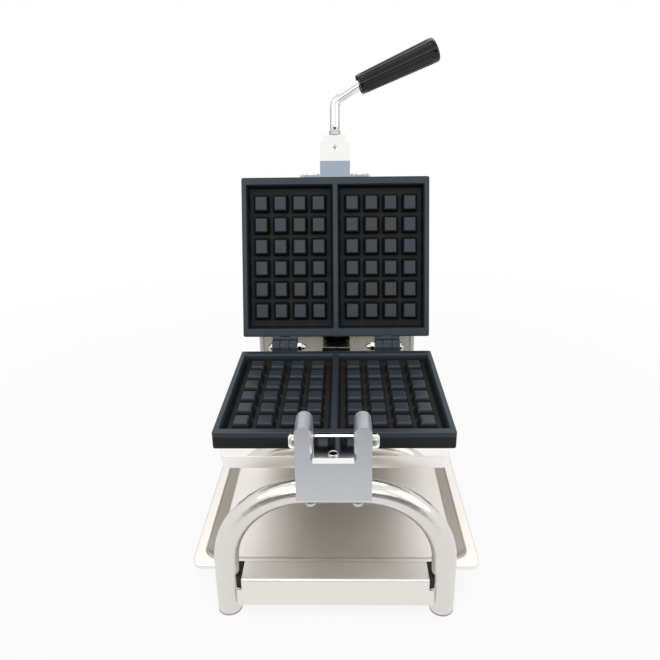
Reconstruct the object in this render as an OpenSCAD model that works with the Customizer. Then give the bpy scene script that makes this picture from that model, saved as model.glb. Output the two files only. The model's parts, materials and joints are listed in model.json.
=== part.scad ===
// Turn-over waffle iron: two hinged cast plates on a shaft, held in a fork on a tube stand.
// It is drawn open, as it stands between two batches. Millimetres, +Z up.
// The operator stands at -Y and +X is at the operator's right hand.
// The origin is on the worktop, at the middle of the space that the open iron takes up.

/* [Baking plates] */
// Width of a cast plate, across the two waffles
plate_w = 240; // [236:1:244]
// Length of a cast plate, front edge to rear edge
plate_l = 204; // [200:1:210]
// Thickness of a cast plate
plate_t = 18; // [17:0.5:20]
// Radius of the plate's vertical corners
plate_corner = 4; // [2:0.5:8]
// Width of one waffle pocket at the rim
pocket_w = 110.5; // [108:0.5:111]
// Length of one waffle pocket at the rim
pocket_l = 184; // [180:1:186]
// Depth of a pocket below the rim
pocket_depth = 14; // [12:0.5:14.5]
// Width of the land between the two pockets
divider_w = 6.5; // [5.5:0.5:8]
// Width of the land in front of the pockets
front_land = 9.5; // [8:0.5:11]
// Draft of the pocket walls, in degrees
wall_draft = 10; // [5:1:14]
// Studs across one pocket
stud_cols = 4; // [3:1:4]
// Studs along one pocket
stud_rows = 6; // [5:1:6]
// Stud pitch across the pocket
stud_pitch_x = 24.6; // [24:0.1:25]
// Stud pitch along the pocket
stud_pitch_y = 27.7; // [27:0.1:28.2]
// Width of a stud's flat top
stud_w = 14.3; // [13:0.1:15]
// Length of a stud's flat top
stud_l = 17; // [15:0.1:18]
// How far the stud tops lie below the rim
stud_recess = 2.5; // [1:0.5:4]
// Draft of the studs' sides, in degrees
stud_draft = 12; // [6:1:13]

/* [Plate hinge] */
// How far the lid is open in the drawing, in degrees
open_angle = 107.9; // [100:0.1:110]
// Hinge axis behind the plates' rear edge
hinge_reach = 13.3; // [12.8:0.1:14]
// Distance of each hinge from the middle
hinge_x = 65.9; // [55:0.1:80]
// Diameter of the knuckles
knuckle_d = 21; // [18:0.5:22]
// Width of one whole hinge, over its three knuckles
hinge_w = 32; // [28:1:36]
// Width of the middle knuckle
middle_w = 11.6; // [9:0.2:13]
// Diameter of the hinge bolts
hinge_bolt_d = 6; // [5:0.5:8]

/* [Casings] */
// Distance of a casing's wall inside the plate's edge
casing_inset = 4; // [3:0.5:6]
// Height of a casing's upright wall
casing_wall_h = 13; // [10:1:16]
// Height of a casing's sloping wall
casing_slope_h = 14; // [10:1:16]
// How far the sloping wall draws in
casing_draw_in = 3; // [2:0.5:6]
// Sheet thickness of the casings
casing_t = 1.2; // [1:0.1:1.5]

/* [Latch and handle] */
// Width of the latch arms in front of the plates
arm_w = 38.2; // [34:0.2:38.4]
// Reach of the lower latch arm in front of the plates
arm_reach = 42.4; // [38:0.2:44]
// Sheet thickness of the latch arms
arm_t = 2.5; // [2:0.1:3]
// Width of the latch arms' screwed flange
flange_w = 89; // [84:1:96]
// Diameter of the handle rod
rod_d = 12; // [10:0.5:12]
// Length of the black grip
grip_l = 107; // [95:1:115]
// Diameter of the grip where the rod enters
grip_d0 = 25; // [22:0.5:27]
// Diameter of the grip at its free end
grip_d1 = 31; // [28:0.5:34]
// Number of flutes along the grip
flutes = 12; // [8:1:14]

/* [Stand] */
// Height of the closed plates' parting plane over the worktop
parting_h = 199.5; // [196:0.5:206]
// Diameter of the stand's tube
tube_d = 25; // [22:0.5:26]
// Wall of the stand's tube
tube_wall = 1.5; // [1.2:0.1:2]
// Distance between the legs' centre lines
hoop_w = 222.5; // [216:0.5:230]
// Centre-line radius of the tube's bends
bend_r = 85; // [70:1:90]
// Distance of the tube's centre behind the plates' front edge (negative is in front)
hoop_y = -20; // [-22:0.5:-19]
// Width of the fork block
fork_w = 72; // [70:0.5:78]
// Width of the notch between the prongs
notch_w = 39.2; // [39:0.1:40]
// Height of the prongs above the parting plane
prong_up = 27.6; // [22:0.1:30]
// Distance between the fork's two bolts
fork_bolt_pitch = 46.5; // [42:0.5:50]

/* [Drip tray] */
// Width over the tray's rim
tray_w = 308; // [300:1:320]
// Height of the tray's rim over the worktop
tray_rim_h = 39.5; // [38:0.5:42]
// Depth of the tray
tray_depth = 20; // [16:1:20]
// Width of the tray's flat rim
tray_rim = 12; // [9:0.5:15]

/* [Rear housing] */
// Width of the housing
housing_w = 218; // [212:1:226]
// Depth of the housing
housing_l = 122; // [118:1:130]
// Distance of the housing behind the plates' front edge
housing_y = 280; // [280:0.5:284]
// Height of the housing's top above the parting plane
housing_up = 22; // [20:0.5:23]
// Radius of the housing's upright corners
housing_corner = 10; // [8:0.5:12]
// Diameter of the turning shaft
shaft_d = 22; // [20:0.5:24]
// Diameter of the two control knobs
knob_d = 38; // [34:1:42]
// Radial running clearance of the pins and shafts
run_gap = 0.05; // [0.02:0.01:0.08]

/* [Hidden] */
$fn = 64;
eps = 0.01;
// The gland's length behind the housing, which is the iron's rearmost point
gland_out = 15;
// Place of the plates' front edge, so that the whole iron is centred on the origin
front_y = (arm_reach - housing_y - housing_l - gland_out) / 2;
hinge_y = plate_l + hinge_reach;
grid_y = front_land + pocket_l / 2;
pocket_x = divider_w / 2 + pocket_w / 2;
stud_h = pocket_depth - stud_recess;
first_col = pocket_x - (stud_cols - 1) / 2 * stud_pitch_x;
first_row = grid_y - (stud_rows - 1) / 2 * stud_pitch_y;
casing_h = casing_wall_h + casing_slope_h;
casing_w = plate_w - 2 * casing_inset;
casing_l = plate_l - 2 * casing_inset;
// Bolts and screws: shank, clearance hole, and the tapped bosses on the plates' backs
bolt_d = 5.9;
bolt_hole_d = 6.4;
boss_d = 10;
boss_bore_d = 6;
head_across = 10;
head_h = 4;
flange_screw_d = 4.9;
flange_hole_d = 5;
sheet_screw_d = 3.9;
sheet_hole_d = 4.1;
// Hinge lugs: their two outer knuckles, their stop heels and their spigots in the plates' rear edges
outer_w = (hinge_w - middle_w - 0.4) / 2;
outer_x = (hinge_w - outer_w) / 2;
lug_places = [[-hinge_x, middle_w], [hinge_x - outer_x, outer_w], [hinge_x + outer_x, outer_w]];
heel_h = 7;
spigot_d = 6;
spigot_l = 7;
spigot_z = -knuckle_d / 4;
// Latch arms: how far the lower one and the lid's reach from the parting plane, and their flanges
lower_arm_h = 7.3;
lid_arm_h = 11.5;
arm_gap = 1.5;
flange_t = 2.5;
flange_h = 15.6;
flange_z = -0.3 - flange_h / 2;
flange_head_d = 9.6;
flange_head_h = 3.4;
screw_xs = [-39, -24.5, 24.5, 39];
pin_y = -37.4;
bush_hole_d = 7;
// The lid's arm, which is longer and narrower in front
tab_w = 29.4;
tab_y = -53;
shoulder_y = -44;
rod_z = 6.5;
// The fork block's front and back, and the back of its prongs, which clear the latch screws' heads
fork_y0 = -37;
fork_y1 = -4.6;
prong_y1 = -flange_t - flange_head_h - 0.3;
hoop_top_h = parting_h - 52;
hoop_end_h = 3;
// The crossbar and what rests behind it
bar_y0 = -31;
bar_y1 = -2.5;
bar_h0 = 14;
bar_h1 = 46.8;
bar_t = 1.5;
bar_foot_y = -16;
tray_y0 = -2;
tray_y1 = housing_y - 6;
rail_x = 75;
rail_w = 25;
rail_h = tray_rim_h - tray_depth;
rail_h0 = 5.5;
sheet = 1.5;
housing_top = parting_h + housing_up;
housing_h0 = 8;
// The shaft's cross pins and bearing
pivot_y = housing_y + 22;
block_w = 56;
block_l = 28;
block_h = 34;
cheek_t = 4;
cheek_x = block_w / 2 + 0.5;
journal_d = 12;
bush_od = 28;
// The shaft arm, a welded box behind the lower casing
strap_y = 60;
box_w = 36;
box_top = -3;
box_bottom = -(plate_t + casing_h + 4);
hub_y = housing_y - 9;
hub_t = 4;
shaft_y1 = pivot_y + 26;
// Controls on the right-hand wall, measured from the housing's front and from the worktop
dial_h = 108;
dial_y = [housing_y + 36, housing_y + 86];
lamp_y = [housing_y + 45, housing_y + 77];
lamp_h = 190;
switch_y = housing_y + 61;
switch_h = 62;
wall_x = housing_w / 2;
// Outer face of the back panel, which lies against the cover's inturned edges
back_y = housing_y + housing_l - sheet;
gland_x = 60;
gland_h = 50;
spindle_d = 6;
rocker_in = -2;
rocker_lean = 9;

// ---------- frames of reference ----------

// Height from the worktop, depth from the plates' front edge
module on_stand() {
  translate([0, front_y, 0]) children();
}

// Height from the closed plates' parting plane
module at_plates() {
  translate([0, front_y, parting_h]) children();
}

// The lower casting's shape turned over: it becomes the upper one, lying closed
module turned_over() {
  rotate([0, 180, 0]) children();
}

// From the closed lid to the open one, about the hinge axis
module opened() {
  translate([0, front_y + hinge_y, parting_h])
    rotate([-open_angle, 0, 0])
      translate([0, -hinge_y, 0]) children();
}

// ---------- shared shapes ----------

// Rectangle with true arcs at its corners, centred
module round_rect(w, l, r) {
  if (w > 2 * r) square([w - 2 * r, l], center = true);
  if (l > 2 * r) square([w, l - 2 * r], center = true);
  for (sx = w > 2 * r ? [-1, 1] : [0], sy = l > 2 * r ? [-1, 1] : [0])
    translate([sx * (w / 2 - r), sy * (l / 2 - r)]) circle(r);
}

// Extrudes a YZ outline along X, centred
module along_x(w) {
  rotate([90, 0, 90]) linear_extrude(w, center = true) children();
}

// Extrudes an XZ outline along Y, centred
module along_y(l) {
  rotate([90, 0, 0]) linear_extrude(l, center = true) children();
}

// Trapezoid standing on the X axis of its plane
module trapezoid(foot, top, h) {
  polygon([[-foot / 2, 0], [foot / 2, 0], [top / 2, h], [-top / 2, h]]);
}

// Block with four sloping sides, from foot to top
module sloped_block(foot_w, foot_l, top_w, top_l, h) {
  intersection() {
    along_y(max(foot_l, top_l) + 2) trapezoid(foot_w, top_w, h);
    along_x(max(foot_w, top_w) + 2) trapezoid(foot_l, top_l, h);
  }
}

// Round-headed screw along -Y with its seat at y = 0
module pan_screw(d, head_d, head_h, shank_l) {
  rotate([90, 0, 0]) {
    cylinder(d = head_d, h = head_h * 0.55);
    translate([0, 0, head_h * 0.55 - eps]) cylinder(d1 = head_d, d2 = head_d * 0.6, h = head_h * 0.45 + eps);
    translate([0, 0, -shank_l]) cylinder(d = d, h = shank_l + eps);
  }
}

// Hexagon nut or bolt head standing on z = 0, measured across its flats
module hexagon(across, h) {
  cylinder(d = across / cos(30), h = h, $fn = 6);
}

// Tube standing on z = 0
module ring(od, id, h) {
  difference() {
    cylinder(d = od, h = h);
    translate([0, 0, -1]) cylinder(d = id, h = h + 2);
  }
}

// ---------- the cast plate ----------

// Ridges that run along Y, one for each column of studs
module column_ridges() {
  foot = stud_w + 2 * stud_h * tan(stud_draft);
  for (side = [-1, 1], i = [0 : stud_cols - 1])
    translate([side * (first_col + i * stud_pitch_x), grid_y, -pocket_depth - eps])
      along_y(pocket_l) trapezoid(foot, stud_w, stud_h + eps);
}

// Ridges that run along X, one for each row of studs
module row_ridges() {
  foot = stud_l + 2 * stud_h * tan(stud_draft);
  for (j = [0 : stud_rows - 1])
    translate([0, first_row + j * stud_pitch_y, -pocket_depth - eps])
      along_x(plate_w) trapezoid(foot, stud_l, stud_h + eps);
}

// The crossing ridges meet in one four-sided stud at every crossing
module studs() {
  intersection() {
    column_ridges();
    row_ridges();
  }
}

// The hollow of one waffle, with drafted walls
module pocket(x) {
  shrink = 2 * pocket_depth * tan(wall_draft);
  grow = 2 * tan(wall_draft);
  translate([x, grid_y, -pocket_depth])
    sloped_block(pocket_w - shrink, pocket_l - shrink, pocket_w + grow, pocket_l + grow, pocket_depth + 1);
}

// Both plates are this casting
module casting() {
  difference() {
    union() {
      difference() {
        translate([0, plate_l / 2, -plate_t])
          linear_extrude(plate_t) round_rect(plate_w, plate_l, plate_corner);
        pocket(-pocket_x);
        pocket(pocket_x);
      }
      studs();
      bosses(concat(casing_bolt_places(), arm_bolt_places()));
    }
    for (lug = lug_places) translate([lug[0], plate_l, spigot_z])
      rotate([90, 0, 0]) cylinder(d = spigot_d + 2 * run_gap, h = 2 * spigot_l, center = true);
    for (x = screw_xs) translate([x, 0, flange_z])
      rotate([90, 0, 0]) cylinder(d = flange_hole_d, h = 16, center = true);
  }
}

// One hinge lug: a knuckle with its arm and its stop heel, and a spigot in the plate's rear edge.
// The heel meets the other plate's rear face when the plates are fully open.
module hinge_lug(x, w) {
  heel = hinge_reach - 0.04;
  translate([x, hinge_y, 0]) difference() {
    union() {
      rotate([0, 90, 0]) cylinder(d = knuckle_d, h = w, center = true);
      translate([-w / 2, -hinge_reach, -knuckle_d / 2]) cube([w, hinge_reach, knuckle_d / 2 - 0.3]);
      rotate([-open_angle, 0, 0]) translate([-w / 2, -heel, 0]) cube([w, heel, heel_h]);
      translate([0, 1 - hinge_reach, spigot_z]) rotate([90, 0, 0]) cylinder(d = spigot_d, h = spigot_l + 0.8);
    }
    rotate([0, 90, 0]) cylinder(d = hinge_bolt_d + 2 * run_gap, h = w + 2, center = true);
  }
}

// The lugs of both plates are these: a middle knuckle at the left, two outer ones at the right
module hinge_lugs() {
  for (lug = lug_places) hinge_lug(lug[0], lug[1]);
}

// Tapped bosses on the plate's back that reach down to the casing's floor
module bosses(places) {
  for (p = places)
    translate([p[0], p[1], -plate_t - casing_h + casing_t]) ring(boss_d, boss_bore_d, casing_h - casing_t);
}

// Heating tube bent into three hairpins below a plate
module heater() {
  d = 7;
  run = plate_l - 74;
  pitch = 34;
  z = -plate_t - d / 2;
  translate([0, plate_l / 2, z]) {
    for (i = [0 : 5])
      translate([(i - 2.5) * pitch, 0, 0])
        rotate([90, 0, 0]) cylinder(d = d, h = run, center = true, $fn = 32);
    for (i = [0 : 4]) {
      side = i % 2 == 0 ? 1 : -1;
      translate([(i - 2) * pitch, side * run / 2, 0])
        rotate([0, 0, side > 0 ? 0 : 180])
          rotate_extrude(angle = 180, $fn = 32) translate([pitch / 2, 0]) circle(d = d);
    }
  }
}

// Pressed sheet pan below a plate: an upright wall, then a sloping one down to the floor
module pan_outline(t) {
  w = casing_w - 2 * t;
  l = casing_l - 2 * t;
  draw = 2 * casing_draw_in;
  translate([0, plate_l / 2, -casing_wall_h - plate_t]) {
    linear_extrude(casing_wall_h + t) square([w, l], center = true);
    translate([0, 0, -casing_slope_h + t])
      sloped_block(w - draw, l - draw, w, l, casing_slope_h - t);
  }
}

module casing() {
  difference() {
    intersection() {
      pan_outline(0);
      translate([0, plate_l / 2, -plate_t - casing_h - 1])
        linear_extrude(casing_h + 1) round_rect(casing_w, casing_l, 5);
    }
    pan_outline(casing_t);
    for (p = casing_bolt_places())
      translate([p[0], p[1], -plate_t - casing_h - 1]) cylinder(d = bolt_hole_d, h = 4);
  }
}

function casing_bolt_places() =
  [for (sx = [-1, 1], sy = [-1, 1]) [sx * (plate_w / 2 - 24), plate_l / 2 + sy * (plate_l / 2 - 26)]];

// Four flanged hexagon bolts through the casing's floor into the plate's bosses
module casing_bolts() {
  for (p = casing_bolt_places())
    translate([p[0], p[1], -plate_t - casing_h]) {
      translate([0, 0, -1.2]) cylinder(d = 13, h = 1.2);
      translate([0, 0, -1.2 - head_h]) hexagon(head_across, head_h + eps);
      translate([0, 0, -eps]) cylinder(d = bolt_d, h = 20);
    }
}

// Mat of mineral wool in the casing, with a hole round each stud
module insulation() {
  h = 11;
  difference() {
    translate([0, plate_l / 2, -plate_t - casing_h + casing_t])
      linear_extrude(h) square([casing_w - 14, casing_l - 14], center = true);
    for (p = concat(casing_bolt_places(), arm_bolt_places()))
      translate([p[0], p[1], -plate_t - casing_h]) cylinder(d = boss_d + 0.4, h = h + 5);
  }
}

// Temperature probe clamped against the plate's back by a saddle
module sensor() {
  translate([0, plate_l / 2, -plate_t]) {
    translate([0, 0, -2.5]) rotate([90, 0, 0]) cylinder(d = 5, h = 62, center = true, $fn = 32);
    difference() {
      translate([-9, -8, -6.5]) cube([18, 16, 6.5]);
      translate([0, 0, -2.5]) rotate([90, 0, 0]) cylinder(d = 5, h = 30, center = true, $fn = 32);
      translate([-2.5, -9, -2.5]) cube([5, 18, 4]);
    }
  }
}

// ---------- latch arms ----------

// Channel open to the back of its plate: a web near the parting plane with lips turned away from it
module arm_channel(reach, w, h) {
  difference() {
    translate([-w / 2, -reach, -h]) cube([w, reach, h - arm_gap]);
    translate([-w / 2 + arm_t, -reach + arm_t, -h - 1])
      cube([w - 2 * arm_t, reach - arm_t - flange_t, h - arm_gap - arm_t + 1]);
  }
}

module arm_flange() {
  difference() {
    translate([0, -flange_t / 2, flange_z]) along_y(flange_t) round_rect(flange_w, flange_h, 3);
    for (x = screw_xs) translate([x, 0, flange_z])
      rotate([90, 0, 0]) cylinder(d = flange_hole_d, h = 9, center = true);
  }
}

module flange_screws() {
  for (x = screw_xs)
    translate([x, -flange_t, flange_z]) pan_screw(flange_screw_d, flange_head_d, flange_head_h, 9);
}

// ---------- the stand ----------

module hoop_path(d) {
  x = hoop_w / 2;
  leg = hoop_top_h - bend_r - hoop_end_h;
  flat = hoop_w - 2 * bend_r;
  translate([0, hoop_y, 0]) {
    for (s = [-1, 1]) {
      translate([s * x, 0, hoop_end_h]) cylinder(d = d, h = leg);
      translate([s * (x - bend_r), 0, hoop_top_h - bend_r])
        rotate([90, 0, 0]) rotate([0, 0, s > 0 ? 0 : 90])
          rotate_extrude(angle = 90) translate([bend_r, 0]) circle(d = d);
    }
    translate([0, 0, hoop_top_h]) rotate([0, 90, 0]) cylinder(d = d, h = flat, center = true);
  }
}

module front_hoop() {
  color("silver") on_stand() difference() {
    hoop_path(tube_d);
    hoop_path(tube_d - 2 * tube_wall);
    for (s = [-1, 1]) {
      translate([s * hoop_w / 2, hoop_y, -1]) cylinder(d = tube_d - 2 * tube_wall, h = hoop_end_h + 3);
      translate([s * fork_bolt_pitch / 2, hoop_y, hoop_top_h - tube_d])
        cylinder(d = bolt_hole_d, h = 2 * tube_d);
    }
  }
}

// Plastic plugs that close the legs and stand on the worktop
module hoop_foot_plugs() {
  color("gray") on_stand() for (s = [-1, 1]) translate([s * hoop_w / 2, hoop_y, 0]) {
    cylinder(d1 = tube_d - 2, d2 = tube_d, h = 1);
    translate([0, 0, 1 - eps]) cylinder(d = tube_d, h = hoop_end_h - 1 + eps);
    cylinder(d = tube_d - 2 * tube_wall - 0.1, h = 16);
  }
}

// Outline of the crossbar's channel seen along X, with bent upper edges
module bar_section(t) {
  r = 3 - t;
  y0 = bar_y0 + t;
  y1 = bar_y1 - t;
  top = bar_h1 - t;
  translate([y0, bar_h0 - 1]) square([y1 - y0, top - r - bar_h0 + 1]);
  translate([y0 + r, bar_h0 - 1]) square([y1 - y0 - 2 * r, top - bar_h0 + 1]);
  for (y = [y0 + r, y1 - r]) translate([y, top - r]) circle(r);
}

// The back wall ends in a foot that is folded forward and lies on the rails
module front_crossbar() {
  shoulder = 14;
  color("gainsboro") on_stand() difference() {
    along_x(202) difference() {
      intersection() {
        bar_section(0);
        translate([bar_y0 - 1, bar_h0]) square([60, 60]);
      }
      difference() {
        bar_section(bar_t);
        translate([bar_foot_y, rail_h]) square([40, bar_t]);
      }
      translate([bar_y1 - 5, 0]) square([10, rail_h]);
    }
    for (s = [-1, 1]) {
      translate([s * 106, (bar_y0 + bar_y1) / 2, bar_h1 - shoulder + 15]) cube([20, 50, 30], center = true);
      translate([s * hoop_w / 2, hoop_y, 0]) cylinder(d = tube_d + 0.08, h = 80);
    }
  }
}

// Black pads that fill the crossbar's cut shoulders against the legs
module crossbar_pads() {
  color("#1b1b1c") on_stand() for (s = [-1, 1]) difference() {
    translate([s * 99, (bar_y0 + bar_y1) / 2 + 1, bar_h1 - 6.8]) cube([6, 24, 14.4], center = true);
    translate([s * hoop_w / 2, hoop_y, 0]) cylinder(d = tube_d + 0.08, h = 80);
  }
}

// Two channels under the tray that tie the front stand to the housing
module base_rails() {
  y0 = bar_foot_y;
  y1 = housing_y + housing_l - 8;
  color("silver") on_stand() for (s = [-1, 1]) translate([s * rail_x, (y0 + y1) / 2, 0])
    along_y(y1 - y0) difference() {
      translate([0, (rail_h0 + rail_h) / 2]) round_rect(rail_w, rail_h - rail_h0, 2);
      translate([-rail_w / 2 + 2, rail_h0 - 1]) square([rail_w - 4, rail_h - rail_h0 - 1]);
    }
}

// Fork outline seen along Y: block, notch and round-topped prongs
module fork_outline() {
  prong = (fork_w - notch_w) / 2;
  bottom = hoop_top_h - parting_h;
  difference() {
    translate([-fork_w / 2, bottom]) square([fork_w, prong_up - prong / 2 - bottom]);
    translate([-notch_w / 2, -lower_arm_h]) square([notch_w, prong_up + 20]);
  }
  for (s = [-1, 1]) translate([s * (notch_w + prong) / 2, prong_up - prong / 2]) circle(d = prong);
}

module fork_cradle() {
  depth = fork_y1 - fork_y0;
  color("lightgray") at_plates() difference() {
    translate([0, (fork_y0 + fork_y1) / 2, 0]) along_y(depth) fork_outline();
    translate([0, hoop_y, hoop_top_h - parting_h]) rotate([0, 90, 0])
      cylinder(d = tube_d + 0.08, h = fork_w + 2, center = true);
    for (s = [-1, 1]) {
      translate([s * fork_bolt_pitch / 2, hoop_y, hoop_top_h - parting_h]) cylinder(d = 6, h = 32);
      translate([s * notch_w / 2, fork_y0, -lower_arm_h])
        rotate([0, 0, 45]) translate([-1.5, -1.5, 0]) cube([3, 3, prong_up + 20]);
    }
    translate([-fork_w / 2 - 1, prong_y1, flange_z - flange_h / 2 - 1]) cube([fork_w + 2, 10, 60]);
  }
}

// Dome-headed bolts through the tube from below
module fork_bolts() {
  seat = hoop_top_h - tube_d / 2 - 4.25;
  color("silver") on_stand() for (s = [-1, 1]) translate([s * fork_bolt_pitch / 2, hoop_y, seat]) {
    difference() {
      intersection() {
        cylinder(d = 11, h = 4.2);
        translate([0, 0, 5]) sphere(d = 13);
      }
      translate([0, 0, -2]) hexagon(4, 3.5);
    }
    translate([0, 0, 2]) cylinder(d = bolt_d, h = tube_d + 16);
  }
}

// Tapered tray with a flat rim and a turned-down hem
module drip_tray() {
  l = tray_y1 - tray_y0;
  t = 1;
  color("gainsboro") on_stand() translate([0, (tray_y0 + tray_y1) / 2, 0]) {
    difference() {
      union() {
        translate([0, 0, tray_rim_h - t]) tray_slab(tray_w, l, 12, t);
        tray_well(0);
        difference() {
          translate([0, 0, tray_rim_h - 5]) tray_slab(tray_w, l, 12, 5);
          translate([0, 0, tray_rim_h - 6]) tray_slab(tray_w - 2 * t, l - 2 * t, 11, 7);
        }
      }
      tray_well(t);
    }
  }
}

module tray_slab(w, l, r, h) {
  linear_extrude(h) round_rect(w, l, r);
}

module tray_well(t) {
  l = tray_y1 - tray_y0;
  lean = 5.5;
  w1 = tray_w - 2 * tray_rim - 2 * t;
  l1 = l - 2 * tray_rim - 2 * t;
  hull() {
    translate([0, 0, tray_rim_h - 0.5]) linear_extrude(0.5 + t) round_rect(w1, l1, 16 - t, $fn = 32);
    translate([0, 0, rail_h + t])
      linear_extrude(0.5) round_rect(w1 - 2 * lean, l1 - 2 * lean - 24, 12 - t, $fn = 32);
  }
}

// ---------- the rear housing ----------

// Box with round upright corners and bent top edges, t inside the housing's outer face
module housing_shape(t) {
  w = housing_w - 2 * t;
  l = housing_l - 2 * t;
  h = housing_top - t;
  r = 4 - t;
  translate([0, housing_y + housing_l / 2, 0]) intersection() {
    translate([0, 0, -t]) linear_extrude(h + t) round_rect(w, l, housing_corner - t);
    along_x(w + 2) round_top(l, h, r);
    along_y(l + 2) round_top(w, h, r);
  }
}

module round_top(w, h, r) {
  translate([-w / 2, 0]) square([w, h - r]);
  translate([-w / 2 + r, 0]) square([w - 2 * r, h]);
  for (s = [-1, 1]) translate([s * (w / 2 - r), h - r]) circle(r);
}

// Wrapped cover: front, sides and top, open at the back and below
module rear_housing() {
  color("silver") on_stand() difference() {
    housing_shape(0);
    housing_shape(sheet);
    translate([0, housing_y, 0]) cube([400, 400, 2 * housing_h0], center = true);
    // The back panel's opening
    translate([-wall_x + 20, housing_y + housing_l - 10, 12]) cube([housing_w - 40, 20, housing_top - 32]);
    screw_holes();
    // Clearance for the shaft's tilt, and for the rails
    translate([0, housing_y, parting_h]) along_y(12) shaft_slot();
    for (s = [-1, 1]) translate([s * rail_x - rail_w / 2 - 0.5, housing_y - 5, 0])
      cube([rail_w + 1, 10, rail_h + 0.5]);
    // Controls
    for (p = concat([for (y = dial_y) [y, dial_h]], [for (y = lamp_y) [y, lamp_h]]))
      translate([wall_x, p[0], p[1]]) rotate([0, 90, 0]) cylinder(d = 10, h = 20, center = true);
    translate([wall_x, switch_y, switch_h]) cube([20, 22, 28], center = true);
    // Louvres on the left-hand wall
    for (i = [0 : 5]) translate([-wall_x, housing_y + 36 + i * 10, 118]) along_x(20) round_rect(4, 58, 2);
  }
}

module shaft_slot() {
  r = shaft_d / 2 + 1.2;
  circle(r);
  translate([-r, 0]) square([2 * r, 4]);
  translate([0, 4]) circle(r);
}

// Back panel with louvres and the cable's hole
module housing_back() {
  w = housing_w - 20;
  h = housing_top - 22;
  color("gainsboro") on_stand() translate([0, back_y - sheet / 2, 0]) difference() {
    translate([0, 0, 10 + h / 2]) along_y(sheet) round_rect(w, h, 3);
    for (i = [0 : 7]) translate([0, 0, 120 + i * 8]) along_y(10) round_rect(90, 3.6, 1.8);
    translate([gland_x, 0, gland_h]) rotate([90, 0, 0]) cylinder(d = 16.2, h = 10, center = true);
    for (p = back_screw_places()) translate([p[0], 0, p[1]])
      rotate([90, 0, 0]) cylinder(d = sheet_hole_d, h = 10, center = true);
  }
}

// Floor pan of the housing, with upturned edges
module housing_floor() {
  w = housing_w - 2 * sheet - 1;
  y0 = housing_y + sheet + 0.3;
  l = housing_l - 8;
  color("silver") on_stand() difference() {
    translate([0, y0 + l / 2, rail_h]) difference() {
      linear_extrude(14) round_rect(w, l, housing_corner - sheet);
      translate([0, 0, 2]) linear_extrude(14) round_rect(w - 4, l - 4, housing_corner - sheet - 2);
      for (i = [-3 : 3]) translate([i * 12, 34, -1]) linear_extrude(6) round_rect(5, 30, 2.5);
    }
    screw_holes();
  }
}

module rear_feet() {
  color("#202022") on_stand() for (s = [-1, 1]) translate([s * rail_x, housing_y + housing_l - 24, 0]) {
    cylinder(d1 = 20, d2 = 23, h = rail_h0);
    cylinder(d = 8, h = rail_h - 2);
  }
}

function side_screw_places() =
  [for (s = [-1, 1], y = [housing_y + 24, housing_y + housing_l - 24]) [s * wall_x, y, rail_h + 8]];

function back_screw_places() =
  [for (s = [-1, 1], h = [30, housing_top - 30]) [s * (wall_x - 12), h]];

// Screws that hold the cover to its floor pan, two on each side, and to its back panel
module housing_screws() {
  color("silver") on_stand() {
    for (p = side_screw_places())
      translate(p) rotate([0, 0, sign(p[0]) * 90]) pan_screw(sheet_screw_d, 7.5, 2, 6);
    for (p = back_screw_places())
      translate([p[0], housing_y + housing_l, p[1]]) rotate([0, 0, 180]) pan_screw(sheet_screw_d, 7.5, 2, 6);
  }
}

// Holes for those screws
module screw_holes() {
  for (p = side_screw_places())
    translate(p) rotate([0, 90, 0]) cylinder(d = sheet_hole_d, h = 20, center = true);
  for (p = back_screw_places()) translate([p[0], housing_y + housing_l, p[1]])
    rotate([90, 0, 0]) cylinder(d = sheet_hole_d, h = 20, center = true);
}

// Folded pedestal: a foot and two upright cheeks that carry the shaft's cross pins
module shaft_pedestal() {
  foot_h = rail_h + 2;
  top = parting_h + 14;
  color("#b9bcc0") on_stand() difference() {
    union() {
      translate([-cheek_x - cheek_t, pivot_y - 14, foot_h]) cube([2 * (cheek_x + cheek_t), 62, 4]);
      for (s = [-1, 1]) translate([s * (cheek_x + cheek_t / 2), pivot_y, 0])
        along_x(cheek_t) cheek_outline(foot_h, top);
      translate([-cheek_x - 1, pivot_y + 42, foot_h]) cube([2 * cheek_x + 2, 4, 95]);
    }
    translate([0, pivot_y, parting_h]) rotate([0, 90, 0])
      cylinder(d = journal_d + 2 * run_gap, h = 2 * cheek_x + 4 * cheek_t, center = true);
  }
}

// A cheek tapers from its wide foot to a round eye at the cross pin
module cheek_outline(h0, h1) {
  r = h1 - parting_h;
  polygon([[-14, h0], [46, h0], [46, h0 + 95], [r, parting_h], [-r, parting_h]]);
  translate([0, parting_h]) circle(r);
}

module terminal_block() {
  color("ivory") on_stand() translate([70, housing_y + 88, rail_h + 2]) difference() {
    translate([-24, -9, 0]) cube([48, 18, 20]);
    for (i = [-1 : 1]) {
      translate([i * 15, 0, 10]) rotate([90, 0, 0]) cylinder(d = 5, h = 30, center = true, $fn = 24);
      translate([i * 15, 0, 12]) cylinder(d = 6, h = 20, $fn = 24);
    }
  }
}

// A rotary control behind the wall: body, threaded neck and washer, seen along +X
module rotary_body(y, size, deep) {
  translate([wall_x - sheet, y, dial_h]) difference() {
    union() {
      translate([-deep, -size / 2, -size / 2]) cube([deep, size, size]);
      translate([-1, 0, 0]) rotate([0, 90, 0]) cylinder(d = 9.8, h = 1 + sheet + 2.5);
    }
    translate([-deep - 1, 0, 0]) rotate([0, 90, 0]) cylinder(d = spindle_d + 2 * run_gap, h = deep + 20);
  }
}

module rotary_spindle(y) {
  translate([wall_x - sheet - 10, y, dial_h]) rotate([0, 90, 0]) cylinder(d = spindle_d, h = 24);
}

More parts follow.
